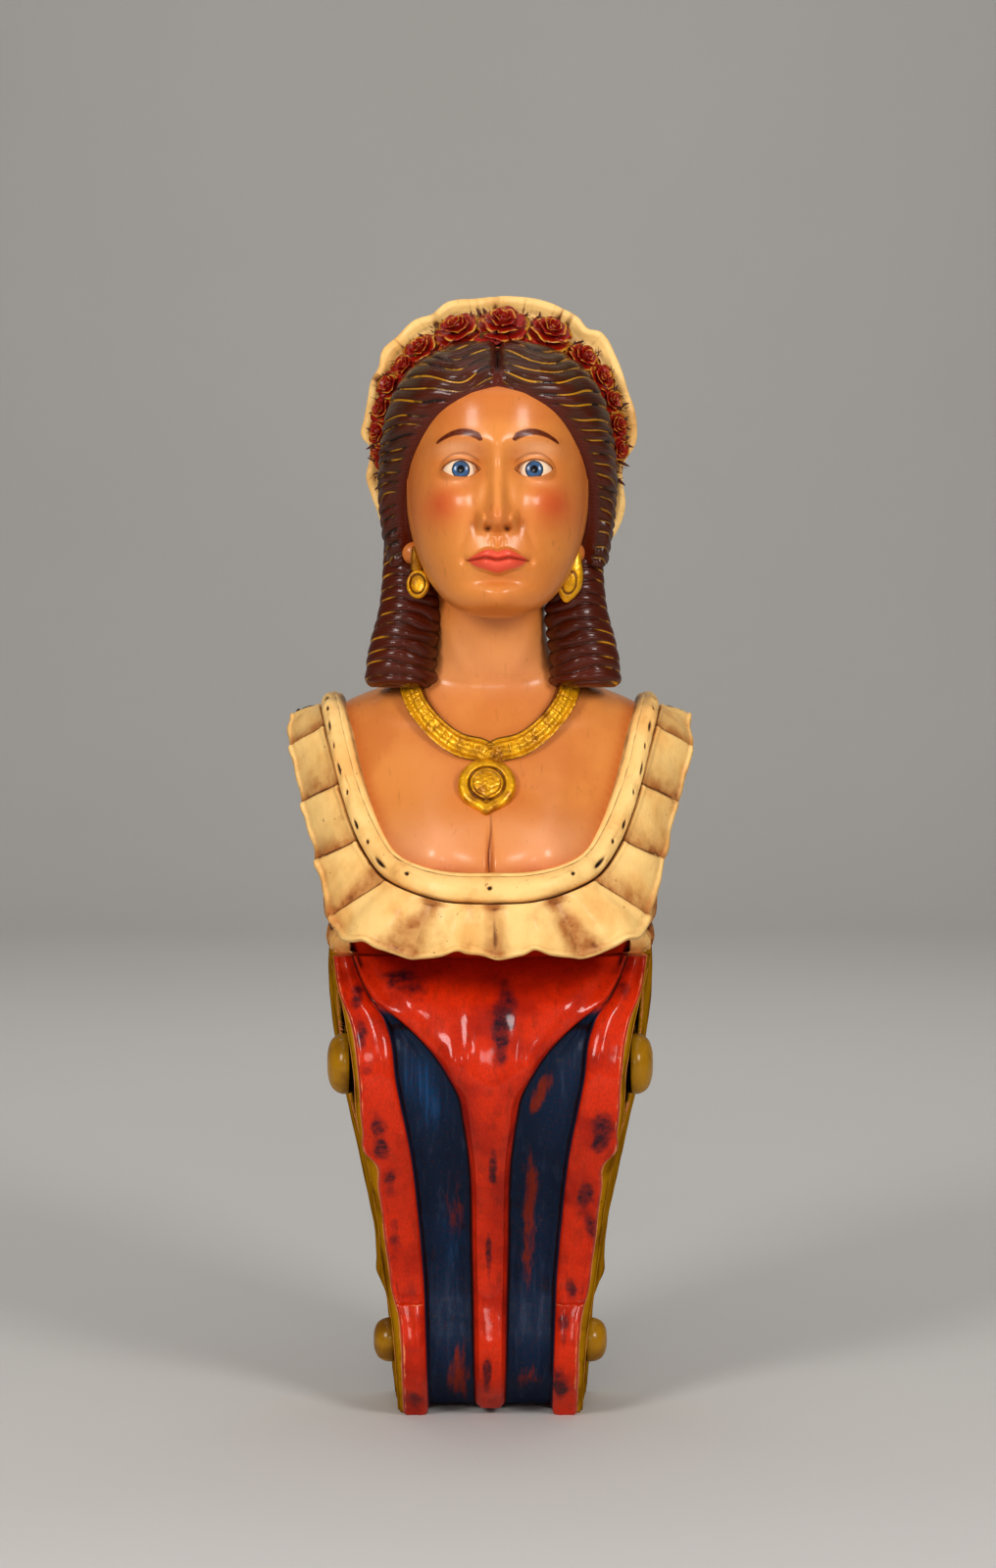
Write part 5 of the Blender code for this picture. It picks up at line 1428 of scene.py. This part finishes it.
def front_hair(sizes):
    """The waved hair between face and garland: a puffed section carried from the parting down to both ears.

    Each wave is a rounded ridge with a sharp valley. The section closes deep inside the head.
    """
    t = np.linspace(-1, 1, 521)
    side = abs(t)[:, None]
    front, back = (both_ways(line, t) + np.array([HEAD_AT[0], 0, 0]) for line in (HAIRLINE, GARLAND_LINE))
    out = unit(np.cross(back - front, np.gradient(front, axis=0)))
    out = unit(out * beside(eased(0, 0.12, side), 1 + 0 * side, 1 + 0 * side))
    front = front + np.exp(-side / 0.05) * np.array([0, -0.0012, 0.0052])  # the hairline's peak
    puff = through([(0, 0.015), (0.1, 0.0215), (0.35, 0.022), (0.6, 0.016), (1, 0.012)], side)
    profile = rounded([(0, 0), (0.06, 0.62), (0.22, 1), (0.45, 0.97), (0.75, 0.58), (1, 0)], 76)
    across, lift = profile[None, :, 0], profile[None, :, 1]
    over = front[:, None] + across[..., None] * (back - front)[:, None]
    over = over + (lift * puff)[..., None] * out[:, None]
    x, h = over[..., 0] - HEAD_AT[0], over[..., 2]
    wave = hair_wave(sizes, x, h, across)
    parted = eased(0.0022, 0.0055, abs(x))
    rolled = eased(0.018, 0.06, across) * eased(1, 0.93, across)
    carved = sizes.wave_depth * (ridge(wave, 0.55) - 0.6) * rolled * parted
    carved = carved * (0.8 + 0.2 * np.sin(h * 300 + t[:, None] * 9))
    carved = carved - 0.005 * bump(x, 0.003) * eased(0.06, 0.24, across) * eased(0.99, 0.88, across)
    outward = facing(over, around=False)
    outward *= np.sign((outward * out[:, None]).sum(-1, keepdims=True))
    over = over + carved[..., None] * outward
    middle = np.array([HEAD_AT[0], 0.095, 0.64])
    tuck = np.linspace(0, 1, 5)[None, 1:, None]
    deep_back, deep_front = (line + 0.8 * (middle - line) for line in (back, front))
    under = beside(back[:, None] * (1 - tuck) + deep_back[:, None] * tuck,
                   deep_front[:, None] * (1 - tuck[:, :-1]) + front[:, None] * tuck[:, :-1])
    points = beside(over, under)
    rest = np.zeros(under.shape[:2])
    golden = eased(0.03, 0.075, across) * (0.55 + 0.45 * eased(0.6, 0.7, h)) * parted
    marks = {"hollow": hollows(points, steps=3, scale=0.0005)[0], "wave": beside(wave, rest + 0.5),
             "parting": beside(bump(x, 0.0021) * eased(0.05, 0.16, across), rest),
             "golden": beside(golden, rest), "lined": beside(rolled * parted, rest + 1),
             # greyed ridges with a painted highlight, near the top of the hair and towards the garland
             "dusty_and_lit": beside(eased(0.06, 0.6, across) * eased(0.6, 0.68, h), rest)}
    return shell("front_hair", points, marks)


def hair_locks(sizes):
    """The ribbed locks beside the neck: tubes with ribs that arch across the front, tapering
    into the hair above."""
    stations = millimetres(  # along; x, f, h, half width, half depth
        (0, 60, 84, 618, 12, 12), (0.25, 57.5, 90, 578, 16, 15.5), (0.5, 55.5, 94, 550, 20.5, 18),
        (0.75, 59.5, 97, 526, 22.5, 20.5), (0.92, 61.5, 97, 509, 23, 20),
        (0.985, 61.5, 95, 499, 22.5, 18.5), (1, 61.5, 94, 497, 20, 15))
    grids, waves, hollow = [], [], []
    t = np.linspace(0, 1, 205)
    x, f, h, wide, deep = (column[:, None] for column in through(stations, t).T)
    turn = np.linspace(0, 2 * math.pi, 86, endpoint=False)[None]
    lateral = np.sin(turn)
    arch = 0.0068 * (1 - (0.8 * lateral - 0.35) ** 2) * abs(np.cos(turn)) ** 0.5
    ribbed = eased(0, 0.15, t[:, None]) * (1 - 0.7 * eased(0.5, 0.95, lateral))
    for side in SIDES:
        jitter = 0.0008 * np.sin(lateral * 3 + h * 300 + side)
        wave = (h - arch + jitter) / sizes.lock_pitch + 0.25 * side
        swell = 1 + 0.115 * (ridge(wave, 0.55) - 0.6) * ribbed
        grids.append(joined(side * (x + wide * swell * lateral) + 0.002, f + deep * swell * np.cos(turn), h))
        waves.append(wave)
        hollow.append(hollows(grids[-1], steps=3, scale=0.0005)[0])
    golden = [eased(0.45, 0.8, lateral + 0.1 * np.sin(12 * wave)) for wave in waves]
    none = [0 * wave for wave in waves]
    return shell("hair_locks", grids, {"wave": waves, "hollow": hollow, "golden": golden, "dusty_and_lit": none,
                                       "parting": none, "lined": [0.4 + part for part in none]})


# ---------------------------------------------------------------- cap and garland

CAP_AT = np.array([0.006, 0.661])  # x, h of the middle of the cap's frill
CAP_HALF_SIZE = (0.0905, 0.095)  # across and up, of the frill's squarish oval
CAP_LOBES = [  # the frill's lobes: degrees from the crown, clockwise, then thousandths off the oval's radius
    (-180, -15), (-150, -15), (-127, -7), (-120, -26), (-113, -20), (-105, -6), (-97, -42), (-92, -40),
    (-89, 5), (-80, -3), (-72, -12), (-64, -6), (-59, -27), (-53, -1), (-44, -24), (-35, -15), (-27.5, -33),
    (-21, 3), (-10, -1), (-1, 9), (10.5, 9), (19, 4), (26, -9), (33, -21), (38.6, -45), (43, -5), (47, -1),
    (53, -15), (60, -20), (69, -15), (80, 13), (92, 1), (98, -58), (109, -64), (116, -15), (125, 10),
    (134, 15), (150, 0), (180, -15)]
ROSES = millimetres(  # degrees from the crown, clockwise, then distance from the cap's middle and radius
    (-97, 78, 9), (-86, 78, 10), (-75, 78, 10.5), (-63.5, 78.5, 11.2), (-52, 77.5, 10.5), (-41, 77.5, 12.2),
    (-20.5, 76, 13.8), (1.9, 75, 14.2), (25.5, 77, 14), (46, 76, 11.8), (59, 77.5, 10.8),
    (70.5, 76.5, 10.5), (83, 77, 10), (94, 78, 9.2))
ROSE_ROWS = [  # outermost first: petals, then reach, height, half width, curl and lift, in the rose's radii
    (5, 1.02, 0.3, 0.74, 0.16, -0.1), (5, 0.86, 0.5, 0.7, 0.1, 0.02), (4, 0.62, 0.62, 0.8, 0.04, 0.12),
    (3, 0.42, 0.7, 0.95, 0, 0.18), (3, 0.24, 0.74, 1.15, -0.1, 0.22)]
BUD = np.array([(0.3, -0.9), (0.3, 0.2), (0.2, 0.55), (0.02, 0.66)])  # radius and height, in the rose's radii
CUP = np.array([(0.3, -1), (0.86, -0.5), (0.8, 0), (0.05, 0.3)])
TWIG_LENGTH = 0.011
THORN_SIDE = (0.1, 1, 0)  # the way that the twigs' and thorns' rings are turned
SPRIG_RING = 0.079  # distance from the cap's middle at which the sprigs start
LOOSE_RING = 0.0715  # distance from the cap's middle at which the loose petals over the hair start


def cap_radius(turn):
    """Radius of the cap's squarish oval frill at an angle from the crown."""
    across, up = CAP_HALF_SIZE
    return (abs(np.sin(turn) / across) ** 2.5 + abs(np.cos(turn) / up) ** 2.5) ** (-1 / 2.5)


def cap():
    """The round cap behind the hair: rings from inside the frill, over its thick scalloped edge and back to
    the crown. The edge ripples in and out and to and fro, and creases run in from its pinches."""
    profile = rounded([(0.62, 0.099), (0.8, 0.0925), (0.9, 0.09), (0.985, 0.0915), (1, 0.0895),
                       (0.998, 0.086), (0.975, 0.082), (0.945, 0.07), (0.88, 0.052), (0.71, 0.03),
                       (0.42, 0.014), (0.2, 0.009), (0.03, 0.008)], 88)
    reach, forward = profile[:, :1], profile[:, 1:]
    turn = np.linspace(0, 2 * math.pi, 440, endpoint=False)[None]
    swing = turn * 11 + 0.9 * np.sin(turn * 3) + 0.5 * np.sin(turn * 2 + 1)
    near_edge = bump(reach - 1, 0.16) * eased(0.06, 0.082, forward)
    scallop = ridge(swing / (2 * math.pi), 0.8) - 0.6
    flutter = np.sin(swing + 0.8) + 0.4 * np.sin(2.3 * swing)
    lobes = through(CAP_LOBES, np.degrees(np.mod(turn + math.pi, 2 * math.pi) - math.pi)) / 1000
    gathers = 0.001 * np.cos(turn * 38 + 1.5 * np.sin(turn * 5))
    gathers = gathers * eased(0.075, 0.055, forward) * eased(0.05, 0.5, reach)
    on_front = eased(0.08, 0.088, forward)
    creases = bump(np.mod(swing / (2 * math.pi) + 0.5, 1) - 0.5, 0.06) * bump(reach - 0.93, 0.1) * on_front
    r = cap_radius(turn) * reach * (1 + near_edge * (lobes + 0.006 * scallop)) + gathers
    f = forward + 0.0018 * near_edge * flutter - 0.0022 * creases
    points = joined(CAP_AT[0] + r * np.sin(turn), f, CAP_AT[1] + r * np.cos(turn))
    points[..., 2] = np.minimum(points[..., 2], HIGHEST[2] + MOUNT_HEIGHT - 0.5 * MARGIN)
    hollow, _ = hollows(points, steps=4, scale=0.0006)
    fine = bump(np.mod(turn * 9 + 0.4 * np.sin(turn * 31), 1) - 0.5, 0.06)
    fine = fine * bump(reach - 0.93, 0.09) * on_front
    # Brown glaze and painted shade: a ring inside the rim under the roses, along the creases and fine folds,
    # and deeper towards the back.
    stain_and_shade = np.clip(0.55 * bump(reach - 0.84, 0.05) * on_front + 0.35 * creases + 0.4 * fine
                    + 0.35 * eased(0.075, 0.06, forward), 0, 1)
    hollow = np.clip(0.7 * hollow + 0.25 * creases + 0.45 * fine * ridge(turn * 3, 2), 0, 1)
    return shell("cap", points, {"hollow": hollow, "stain_and_shade": stain_and_shade, "pierced": 0 * r, "banded": 0 * r,
                                 "run": joined(turn * 0.09, reach * 0.09, 0)})


def about_cap(angle, distance, forward):
    """A place at this angle from the crown and distance from the cap's middle, and the way
    out from the middle."""
    a = math.radians(angle)
    radial = np.array([math.sin(a), 0.0, math.cos(a)])
    return np.array([CAP_AT[0], forward, CAP_AT[1]]) + distance * radial, radial


def petal(root, out, up, reach, height, width, curl, thick, seed):
    """One cupped petal and its share of rim, for its gilt: a leaf of points that leans out from root, widens,
    and curls back at its lip. v runs from root to lip and u across; the second side is the first less the
    thickness."""
    v, u = np.linspace(0, 1, 9)[:, None], np.linspace(-1, 1, 9)[None]
    crinkle = 0.06 * np.sin(4 * u + seed * 1.7) * v ** 2
    away = (reach * (0.18 + 0.82 * v ** 1.3 + curl * v ** 5 + crinkle))[..., None]
    lift = height * (v ** 0.75 - 0.3 * curl * v ** 6 - 0.16 * u ** 2 * v)
    bend = (width * u * np.sin(math.pi * (0.1 + 0.62 * v)) ** 0.8)[..., None]
    face = root + away * np.cos(bend) * out + away * np.sin(bend) * np.cross(up, out) + lift[..., None] * up
    normal = facing(face, around=False)
    normal *= np.sign((normal * (out + 0.6 * up)).sum(-1).mean())
    back = face - thick * normal * np.sin(math.pi * np.clip(0.1 + 0.85 * v, 0, 1))[..., None]
    rim = np.maximum(v ** 3, abs(u) ** 8 * v)
    return beside(face, back[:, ::-1]), beside(rim, rim[:, ::-1])


def rose(number, angle, distance, radius, thick):
    """One rose: rows of petals, fewer, shorter and more upright towards the bud, round a bud and over a cup.

    Each of its closed grids comes with its marks, rim for the gilt and heart for the shade
    between the petals.
    """
    centre, radial = about_cap(angle, distance, 0.108 - 0.009 * abs(math.sin(math.radians(angle))))
    axis = unit(FORWARD + 1.05 * radial)
    side = unit(np.cross(axis, (0.1, 0, 1)))
    up = np.cross(side, axis)
    made = []
    for row, (count, reach, height, width, curl, sink) in enumerate(ROSE_ROWS):
        for k in range(count):
            turn = 2 * math.pi * (k + 0.5 * (row % 2) + 0.13 * math.sin(5 * k + number)) / count + number
            size = radius * (1 + 0.07 * math.sin(3 * k + 2 * number + row))
            out = math.cos(turn) * side + math.sin(turn) * up
            points, rim = petal(centre + (sink - 0.15) * radius * axis, out, axis, reach * size,
                                height * size, width, curl, thick, number + k + row)
            heart = np.linspace(0.75, 0, len(rim))[:, None] * (0.5 + 0.12 * row)
            made.append((points, rim, heart + 0 * rim))
    for profile, lift, sides, rim, heart in ((BUD, 0.05, 14, 0.1, 0.5), (CUP, -0.3, 20, 0, 0.7)):
        grid = turned(centre + lift * radius * axis, axis, rounded(radius * profile, 12), sides)
        made.append((grid, rim + 0 * grid[..., 0], heart + 0 * grid[..., 0]))
    return made


def garland(sizes):
    """Roses round the cap, each set off by small loose petals on its hair side."""
    made = []
    for number, (angle, distance, radius) in enumerate(ROSES):
        made += rose(number, angle, distance, radius, sizes.petal_edge)
    for angle in np.arange(-100, 100, 6.2):
        low = math.sin(math.radians(angle)) ** 2
        root, radial = about_cap(float(angle), LOOSE_RING + 0.004 * low, 0.111 - 0.007 * low)
        size = 0.0095 - 0.004 * low
        axis = unit(FORWARD - 0.15 * radial)
        out = unit(-radial + 0.35 * math.sin(5 * angle) * np.cross(axis, radial))
        points, rim = petal(root, out, axis, size, 0.55 * size, 0.72, -0.1, sizes.petal_edge, angle)
        made.append((points, rim * 0.45, 0 * rim))
    grids, rims, hearts = map(list, zip(*made))
    return shell("garland_roses", grids, {"rim": rims, "heart": hearts, "green": [0 * rim for rim in rims]})


def leaf(root, along, up, long, wide, bow):
    """A pointed leaf with a sunk midrib: its half width is a sine of the way along, and its tip bows over."""
    v, u = np.linspace(0.02, 0.98, 11)[:, None], np.linspace(-1, 1, 7)[None]
    half = wide * np.sin(math.pi * v ** 0.8) ** 0.9
    lift = bow * long * np.sin(math.pi * v) - 0.1 * half * (1 - abs(u)) + 0.0002
    face = root + (v * long)[..., None] * along + (half * u)[..., None] * np.cross(along, up)
    face = face + lift[..., None] * up
    return beside(face, face[:, ::-1] - 0.0008 * up)


def twig(root, along, up, number):
    """A thin wavy twig with two thorns that lean off it to one side."""
    root, across = root + 0.0012 * up, np.cross(along, up)
    t, taper = np.linspace(0, 1, 12), np.linspace(0.0005, 0.0001, 6)
    curve = root + TWIG_LENGTH * np.outer(t, along) + 0.0015 * np.outer(np.sin(3 * t + number), across)
    grids = [sweep(curve, 0.00055 * (1.05 - t), 0.00055 * (1.05 - t), 7, THORN_SIDE)]
    tip = unit(along + (0.9 if number % 2 else -0.9) * across)
    for share in (0.35, 0.6):
        spike = root + share * TWIG_LENGTH * along + 0.0034 * np.outer(np.linspace(0, 1, 6), tip)
        grids.append(sweep(spike, taper, taper, 6, THORN_SIDE))
    return grids


def sprigs(sizes):
    """Leaves and thin thorny twigs that stick out from between the roses over the cap's rim."""
    grids = []
    angles = [angle for angle, *_ in ROSES]
    middles = [(a + b) / 2 for a, b in zip(angles[:-1], angles[1:])]
    for number, angle in enumerate([angles[0] - 8, *middles, angles[-1] + 8]):
        for k in range(sizes.sprigs + 2):
            shifted = angle + 5.5 * math.sin(2.1 * k + number)
            root, radial = about_cap(shifted, SPRIG_RING + 0.002 * math.sin(number + k), 0.096 + 0.0008 * k)
            around = np.array([radial[2], 0, -radial[0]])
            along = unit(radial + 0.6 * math.sin(1.9 * k + 2.3 * number) * around + 0.1 * FORWARD)
            up = unit(FORWARD - 0.1 * radial)
            up = unit(up - along * float(up @ along))
            if k < sizes.sprigs:
                grids.append(leaf(root, along, up, 0.008 + 0.0012 * math.sin(k + number), 0.0011, 0.12))
            else:
                grids += twig(root, along, up, k)
    none = [0 * grid[..., 0] for grid in grids]
    rims = [0.55 * (np.arange(part.shape[1])[None] % 7 == 0) + part for part in none]
    return shell("garland_sprigs", grids, {"rim": rims, "heart": [0.25 + part for part in none],
                                           "green": [0.85 + part for part in none]})


# ---------------------------------------------------------------- stage

BEND_RADIUS = 1.6  # of the curve from floor to wall
FLOOR_ENDS = (4, -3.4)  # how far the floor runs in front of the figurehead, and where it starts to bend
WALL = (-5, 6)  # the wall's place and the height of its top
LAMP_AIM = (0, -0.1, 0.02)
LAMPS = (  # name, shape, place, aim, size, watts, whether it shows in the gloss
    ("left_light", "RECTANGLE", (-1.3, -1.95, 1.02), LAMP_AIM, (0.55, 0.75), 22, True),
    ("right_light", "RECTANGLE", (1.3, -1.95, 1.02), LAMP_AIM, (0.55, 0.75), 21.5, True),
    ("front_light", "ELLIPSE", (-0.12, -2.35, 0.5), LAMP_AIM, (0.42, 0.36), 3, True),
    ("fill_light", "RECTANGLE", (0, -2.35, 0.3), LAMP_AIM, (1.2, 1), 7, False),
    ("top_light", "RECTANGLE", (0, -0.6, 2.6), LAMP_AIM, (2.2, 2), 13, True),
    ("wall_light", "RECTANGLE", (0, 1.2, 2.4), (0, 3.6, 0.6), (3, 1), 40, True),
)
SKY, SKY_STRENGTH = (0.86, 0.84, 0.82, 1.0), 0.12
CAMERA_AIM, CAMERA_DISTANCE, CAMERA_ELEVATION = (0.0053, -0.1, 0.0324), 2.3, math.radians(3)
LENS, SENSOR_WIDTH = 79.11, 36  # millimetres


def backdrop():
    """A floor that curves up into a wall behind: a profile of height against depth, a quarter circle between
    two straight lines, run across from side to side."""
    bend = np.linspace(0, math.pi / 2, 16)[1:]
    floor = np.linspace(*FLOOR_ENDS, 12)
    depth = np.concatenate([floor, FLOOR_ENDS[1] - BEND_RADIUS * np.sin(bend), [WALL[0]]])
    rise = np.concatenate([0 * floor, BEND_RADIUS - BEND_RADIUS * np.cos(bend), [WALL[1]]])
    points = joined(np.linspace(-6, 6, 9)[None], -depth[:, None], rise[:, None] + LOWEST[2])
    rows, columns = points.shape[:2]
    first = (np.arange(rows - 1)[:, None] * columns + np.arange(columns - 1)[None]).ravel()
    faces = np.stack([first, first + 1, first + columns + 1, first + columns], axis=-1)
    mesh = bpy.data.meshes.new("backdrop")
    mesh.from_pydata(points.reshape(-1, 3).tolist(), [], faces.tolist())
    mesh.shade_smooth()
    piece = bpy.data.objects.new("backdrop", mesh)
    bpy.context.scene.collection.objects.link(piece)
    return piece


def soft_light(name, shape, place, aim, size, power, glossy):
    """A flat lamp at place, turned to face aim: yaw and pitch come from the way back from aim to place."""
    lamp = bpy.data.lights.new(name, "AREA")
    lamp.shape, lamp.size, lamp.size_y, lamp.energy = shape, *size, power
    piece = bpy.data.objects.new(name, lamp)
    away = unit(np.array(place) - np.array(aim))
    yaw, pitch = math.atan2(away[0], -away[1]), math.acos(float(np.clip(away[2], -1, 1)))
    piece.location, piece.rotation_euler = place, (pitch, 0, yaw)
    piece.visible_glossy = glossy
    bpy.context.scene.collection.objects.link(piece)


class FIGUREHEAD_OT_stage(bpy.types.Operator):
    """Set up the backdrop, the soft lights and the camera"""

    bl_idname = "figurehead.stage"
    bl_label = "Stage"

    def execute(self, context):
        paints = context.scene.figurehead_paints
        floor = backdrop()
        paint = Paint("backdrop_paint", 0.85, 0.0)
        mottle = paint.noise(1.5, 3.0) * 0.1
        floor.data.materials.append(paint.done(paint.mix(mottle, paints.backdrop, paints.board)))
        for lamp in LAMPS:
            soft_light(*lamp)
        world = bpy.data.worlds.new("studio")
        world.use_nodes = True
        world.node_tree.nodes["Background"].inputs["Color"].default_value = SKY
        world.node_tree.nodes["Background"].inputs["Strength"].default_value = SKY_STRENGTH
        context.scene.world = world
        lens = bpy.data.cameras.new("camera")
        lens.lens, lens.sensor_width = LENS, SENSOR_WIDTH
        camera = bpy.data.objects.new("camera", lens)
        back = np.array([0, -math.cos(CAMERA_ELEVATION), math.sin(CAMERA_ELEVATION)])
        camera.location = CAMERA_AIM + CAMERA_DISTANCE * back
        camera.rotation_euler = (math.pi / 2 - CAMERA_ELEVATION, 0, 0)
        context.scene.collection.objects.link(camera)
        context.scene.camera = camera
        context.scene.view_settings.view_transform = "Standard"
        context.scene.view_settings.look = "Medium High Contrast"
        return {"FINISHED"}


# ---------------------------------------------------------------- operators

class FIGUREHEAD_OT_console(bpy.types.Operator):
    """Carve the console: dress, rib, channels and bands, the two side boards and their scroll eyes"""

    bl_idname = "figurehead.console"
    bl_label = "Console"

    def execute(self, context):
        front = console_front(context.scene.figurehead_sizes)
        carry(front, painted(context, "red_and_navy_paint"))
        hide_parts(FIGURE)
        for piece in (console_side(-1), console_side(1), scroll_eyes()):
            carry(piece, painted(context, "ochre_paint"))
        return {"FINISHED"}


class FIGUREHEAD_OT_bust(bpy.types.Operator):
    """Carve the chest, shoulders and neck, with the bodice below the neckline"""

    bl_idname = "figurehead.bust"
    bl_label = "Bust"

    def execute(self, context):
        carry(torso(), painted(context, "skin_paint"))
        return {"FINISHED"}


class FIGUREHEAD_OT_collar(bpy.types.Operator):
    """Carve the neckline's band, its pleated frill and the gathered cloth under the arms"""

    bl_idname = "figurehead.collar"
    bl_label = "Collar and gathers"

    def execute(self, context):
        for piece in (collar(context.scene.figurehead_sizes), side_gathers(-1), side_gathers(1)):
            carry(piece, painted(context, "cream_paint"))
        return {"FINISHED"}


class FIGUREHEAD_OT_jewellery(bpy.types.Operator):
    """Carve the necklace, its pendant and the earrings"""

    bl_idname = "figurehead.jewellery"
    bl_label = "Jewellery"

    def execute(self, context):
        for piece in (necklace(context.scene.figurehead_sizes), pendant(), earrings()):
            carry(piece, painted(context, "gilt_paint"))
        return {"FINISHED"}


class FIGUREHEAD_OT_head(bpy.types.Operator):
    """Carve the head with its face, the eyes and the ear lobes"""

    bl_idname = "figurehead.head"
    bl_label = "Head"

    def execute(self, context):
        sizes = context.scene.figurehead_sizes
        carry(head(sizes), painted(context, "skin_paint"))
        carry(ears(), painted(context, "skin_paint"))
        carry(eyeballs(sizes), painted(context, "eye_paint"))
        return {"FINISHED"}


class FIGUREHEAD_OT_hair(bpy.types.Operator):
    """Carve the waved hair over the brow and the ribbed locks"""

    bl_idname = "figurehead.hair"
    bl_label = "Hair"

    def execute(self, context):
        sizes = context.scene.figurehead_sizes
        for piece in (front_hair(sizes), hair_locks(sizes)):
            carry(piece, painted(context, "hair_paint"))
        return {"FINISHED"}


class FIGUREHEAD_OT_cap(bpy.types.Operator):
    """Carve the cap with its scalloped frill"""

    bl_idname = "figurehead.cap"
    bl_label = "Cap"

    def execute(self, context):
        carry(cap(), painted(context, "cream_paint"))
        return {"FINISHED"}


class FIGUREHEAD_OT_garland(bpy.types.Operator):
    """Carve the garland of roses, its leaves and its sprigs"""

    bl_idname = "figurehead.garland"
    bl_label = "Garland"

    def execute(self, context):
        sizes = context.scene.figurehead_sizes
        for piece in (garland(sizes), sprigs(sizes)):
            carry(piece, painted(context, "garland_paint"))
        return {"FINISHED"}


OPERATORS = (
    FIGUREHEAD_OT_console, FIGUREHEAD_OT_bust, FIGUREHEAD_OT_collar, FIGUREHEAD_OT_jewellery,
    FIGUREHEAD_OT_head, FIGUREHEAD_OT_hair, FIGUREHEAD_OT_cap, FIGUREHEAD_OT_garland, FIGUREHEAD_OT_stage,
)


class FIGUREHEAD_PT_panel(bpy.types.Panel):
    """The figurehead's pieces, sizes and paints"""

    bl_idname = "FIGUREHEAD_PT_panel"
    bl_label = "Figurehead"
    bl_space_type = "VIEW_3D"
    bl_region_type = "UI"
    bl_category = "Figurehead"

    def draw(self, context):
        for operator in OPERATORS:
            self.layout.operator(operator.bl_idname)
        for group in (context.scene.figurehead_sizes, context.scene.figurehead_paints):
            column = self.layout.column()
            for name in group.bl_rna.properties.keys():
                if name not in ("rna_type", "name"):
                    column.prop(group, name)


CLASSES = (FigureheadSizes, FigureheadPaints, *OPERATORS, FIGUREHEAD_PT_panel)


def register():
    for cls in CLASSES:
        bpy.utils.register_class(cls)
    bpy.types.Scene.figurehead_sizes = PointerProperty(type=FigureheadSizes)
    bpy.types.Scene.figurehead_paints = PointerProperty(type=FigureheadPaints)


def unregister():
    del bpy.types.Scene.figurehead_paints
    del bpy.types.Scene.figurehead_sizes
    for cls in reversed(CLASSES):
        bpy.utils.unregister_class(cls)


def main():
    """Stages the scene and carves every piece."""
    register()
    bpy.ops.figurehead.stage()
    bpy.ops.figurehead.console()
    bpy.ops.figurehead.bust()
    bpy.ops.figurehead.collar()
    bpy.ops.figurehead.jewellery()
    bpy.ops.figurehead.head()
    bpy.ops.figurehead.hair()
    bpy.ops.figurehead.cap()
    bpy.ops.figurehead.garland()
    bpy.context.view_layer.update()


if __name__ == "__main__":
    main()
